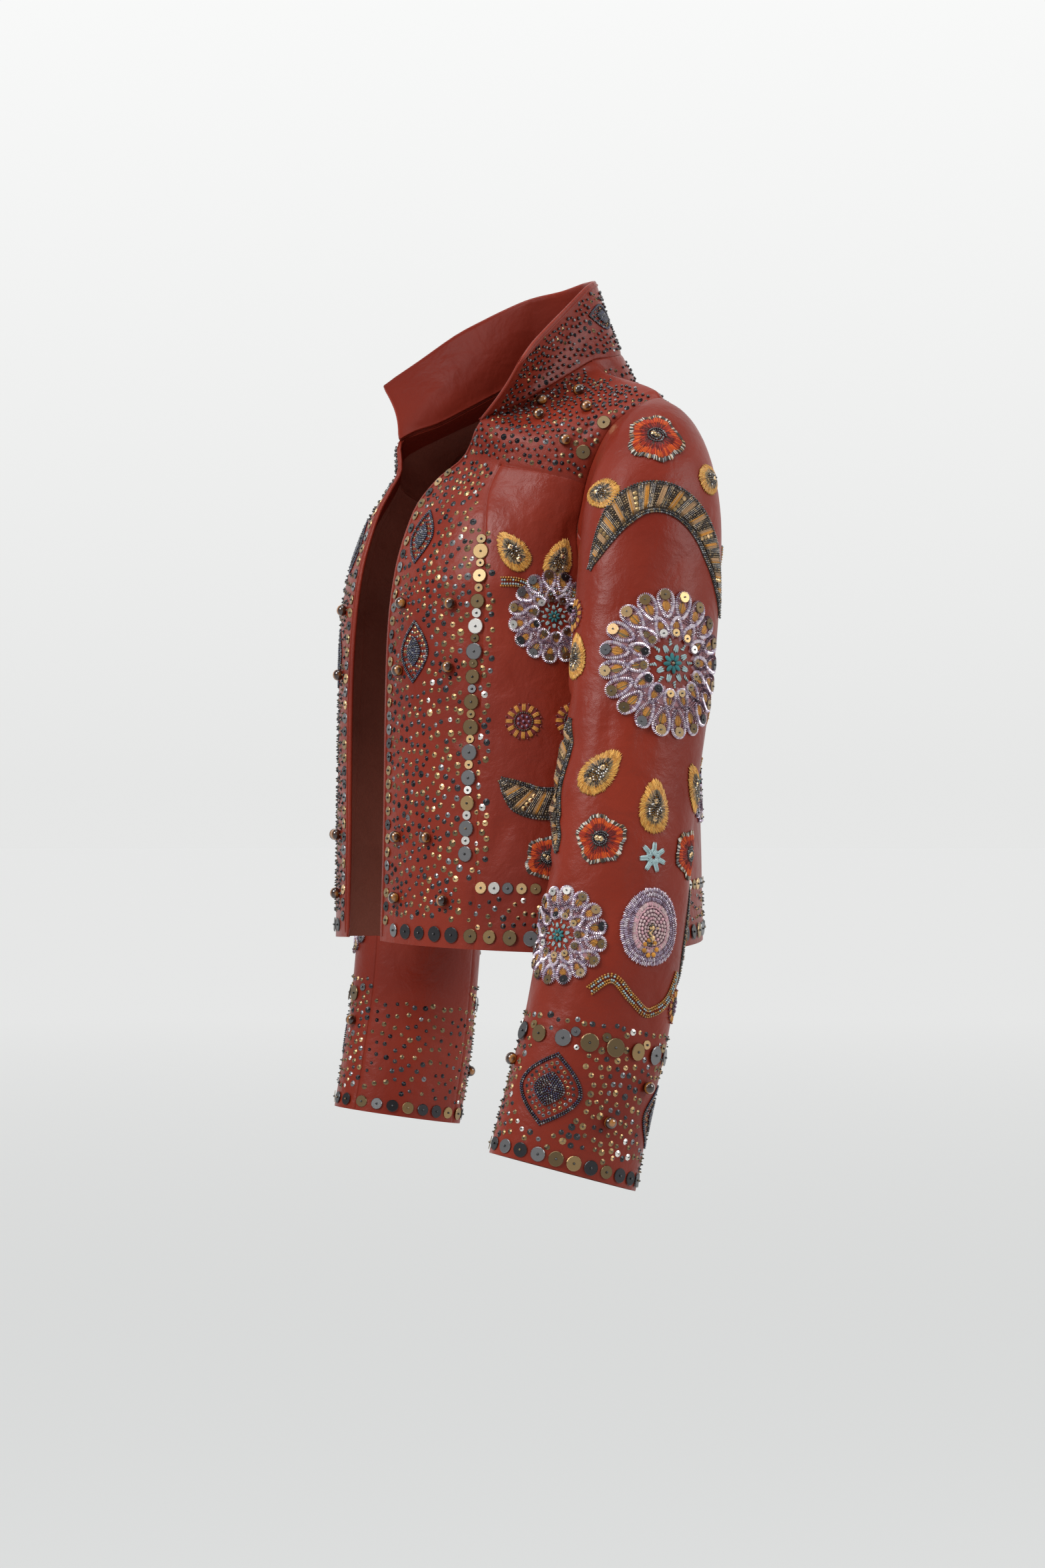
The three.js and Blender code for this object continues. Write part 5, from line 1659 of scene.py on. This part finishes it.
BACK_ROWS = [
    Row("back", ((0.42, 0.6), (0.42, 35.4)), 17.5, 12.5, DARK_PLATES),
    Row("back", ((0.42, 0.95), (0.42, 35.4)), 17.5, 7, PLATES),
    Row("back", ((1.95, 0.6), (1.95, 35.4)), 11.5, 9.5, PLATES),
    Row("back", ((16.1, 3), (16.1, 33)), 19, 9, DARK_PLATES),
]
Field = namedtuple("Field", "panel rows columns pitch wide palette")
BLACK_BEADS = ((JET, 3), (BLACKENED, 3), (GUNMETAL, 3), (PEWTER, 1))
SEQUINS_IN_BEADS = 0.3  # the share of the spots in a field of black beads
FRONT_FIELDS = [
    Field("front", (0.9, 16.0), (0.9, 3.4), 5.9, 4.9, DARK_CUPS),
    Field("front", (0.9, 16.0), (3.4, 5.3), 6.3, 5.1, BRIGHT_CUPS),
    Field("front", (2.2, 13.6), (4.9, 6.5), 5.8, 4.9, BRIGHT_CUPS),
    Field("front", (0.7, 1.8), (5.6, 11.7), 6.6, 4.6, BRIGHT_CUPS),
    Field("front", (16.2, 21.7), (0.4, 11.7), 4.9, 3.2, BLACK_BEADS),
    Field("front", (14.6, 16.0), (0.5, 5.6), 5.0, 3.4, BLACK_BEADS),
]
SLEEVE_FIELDS = [
    Field("sleeve", (26.9, 33.2), (4.15, 20.85), 5.9, 4.8, BRIGHT_CUPS),
    Field("sleeve", (28.2, 33.2), (21.2, 27.8), 7.6, 4.2, DARK_CUPS),
]
BACK_FIELDS = [
    Field("back", (16.4, 21.7), (0.6, 35.4), 6.2, 3.0, BLACK_BEADS),
    Field("back", (0.8, 1.8), (0.6, 35.4), 7.2, 4.2, BRIGHT_CUPS),
]
COLLAR_FIELDS = [Field("collar", (0.35, 4.5), (0.6, 21.4), 4.9, 3.2, BLACK_BEADS)]


def sew_rows(rows, prefix=""):
    for line in rows:
        panel = panels[prefix + line.panel]
        row, column = stretch(panel, line.ends, line.pitch)
        free = roomy(panel, panel.at(row, column), line.wide / 2 - 1)
        sequins(panel, row[free], column[free], line.wide, line.palette, plate=True)
        take(panel, row[free], column[free], line.wide / 2)


def sew_fields(fields, prefix=""):
    total = 0
    for field in fields:
        panel = panels[prefix + field.panel]
        row, column = spread(panel, field.rows, field.columns, field.pitch)
        wide = field.wide * rng.choice([0.82, 1.0, 1.2], len(row), p=[0.35, 0.45, 0.2])
        if field.palette is BLACK_BEADS:
            flat = rng.random(len(row)) < SEQUINS_IN_BEADS
            beads = wide[~flat, None] * (1, 1, 0.8)
            sew(panel, "glass", SEED, row[~flat], column[~flat], beads, shades(BLACK_BEADS, len(beads)), 0.9)
            sequins(panel, row[flat], column[flat], 1.4 * wide[flat], DARK_CUPS)
        else:
            sequins(panel, row, column, wide, field.palette)
        take(panel, row, column, wide / 2)
        total += len(row)
    return total


count = 0
for side in ("left_", "right_"):
    sew_rows(FRONT_ROWS + SLEEVE_ROWS, side)
    count += sew_fields(FRONT_FIELDS + SLEEVE_FIELDS, side)
sew_rows(BACK_ROWS)
count += sew_fields(BACK_FIELDS + COLLAR_FIELDS)
print(f"{count} sequins in the fields")

# %% [markdown]
# ## Finishes of the small things
#
# Sequins are metal-coated film, so they are metallic and fairly smooth. Pearly ones and glass beads
# keep their body colour under a clear coat. Silk is a soft sheen, and wool is matt with a fine fuzz
# that sheen imitates. The stones have brown and amber bands, which a wave texture draws.


# %% Materials
def shaded(name, **sockets):
    """A material whose colour comes from the copies' own attribute."""
    material, tree, shader = new_material(name, **sockets)
    colour = add_node(tree, "ShaderNodeVertexColor", layer_name="shade")
    link(tree, colour.outputs["Color"], shader.inputs["Base Color"])
    return material


finishes = {
    "metal": (shaded("sequin_metal", Metallic=1.0, Roughness=0.36), "sequins"),
    "pearl": (shaded("sequin_pearl", Metallic=0.35, Roughness=0.16, Coat_Weight=0.8, Coat_Roughness=0.08),
              "sequins"),
    "glass": (shaded("bead_glass", Metallic=0.25, Roughness=0.16, Coat_Weight=0.6, Coat_Roughness=0.06),
              "beadwork"),
    "silk": (shaded("silk_thread", Roughness=0.4, Sheen_Weight=0.15, Sheen_Roughness=0.3), "thread"),
    "wool": (shaded("wool_thread", Roughness=0.8, Specular_IOR_Level=0.25, Sheen_Weight=0.12), "thread"),
    "felt": (shaded("felt_pad", Roughness=0.95), "thread"),
}
agate, tree, shader = new_material("tiger_eye", Roughness=0.12, Coat_Weight=1.0, Coat_Roughness=0.03)
where = add_node(tree, "ShaderNodeTexCoord").outputs["Object"]
bands = add_node(tree, "ShaderNodeTexWave", Scale=60.0, Distortion=3.0, Detail=2.0)
ramp = add_node(tree, "ShaderNodeValToRGB")
ramp.color_ramp.elements[0].color = (0.016, 0.005, 0.002, 1)
ramp.color_ramp.elements[1].color = (0.36, 0.14, 0.022, 1)
ramp.color_ramp.elements.new(0.7).color = (0.07, 0.02, 0.005, 1)
link(tree, where, bands.inputs["Vector"])
link(tree, bands.outputs["Fac"], ramp.inputs["Fac"])
link(tree, ramp.outputs["Color"], shader.inputs["Base Color"])
finishes["stone"] = (agate, "beadwork")

# %% Joining
total = 0
for (panel_name, finish), contents in trays.items():
    material, slot = finishes[finish]
    total += contents.join(f"{panel_name}_{finish}", material, slot)
print(f"{len(trays)} joined pieces with {total} triangles")
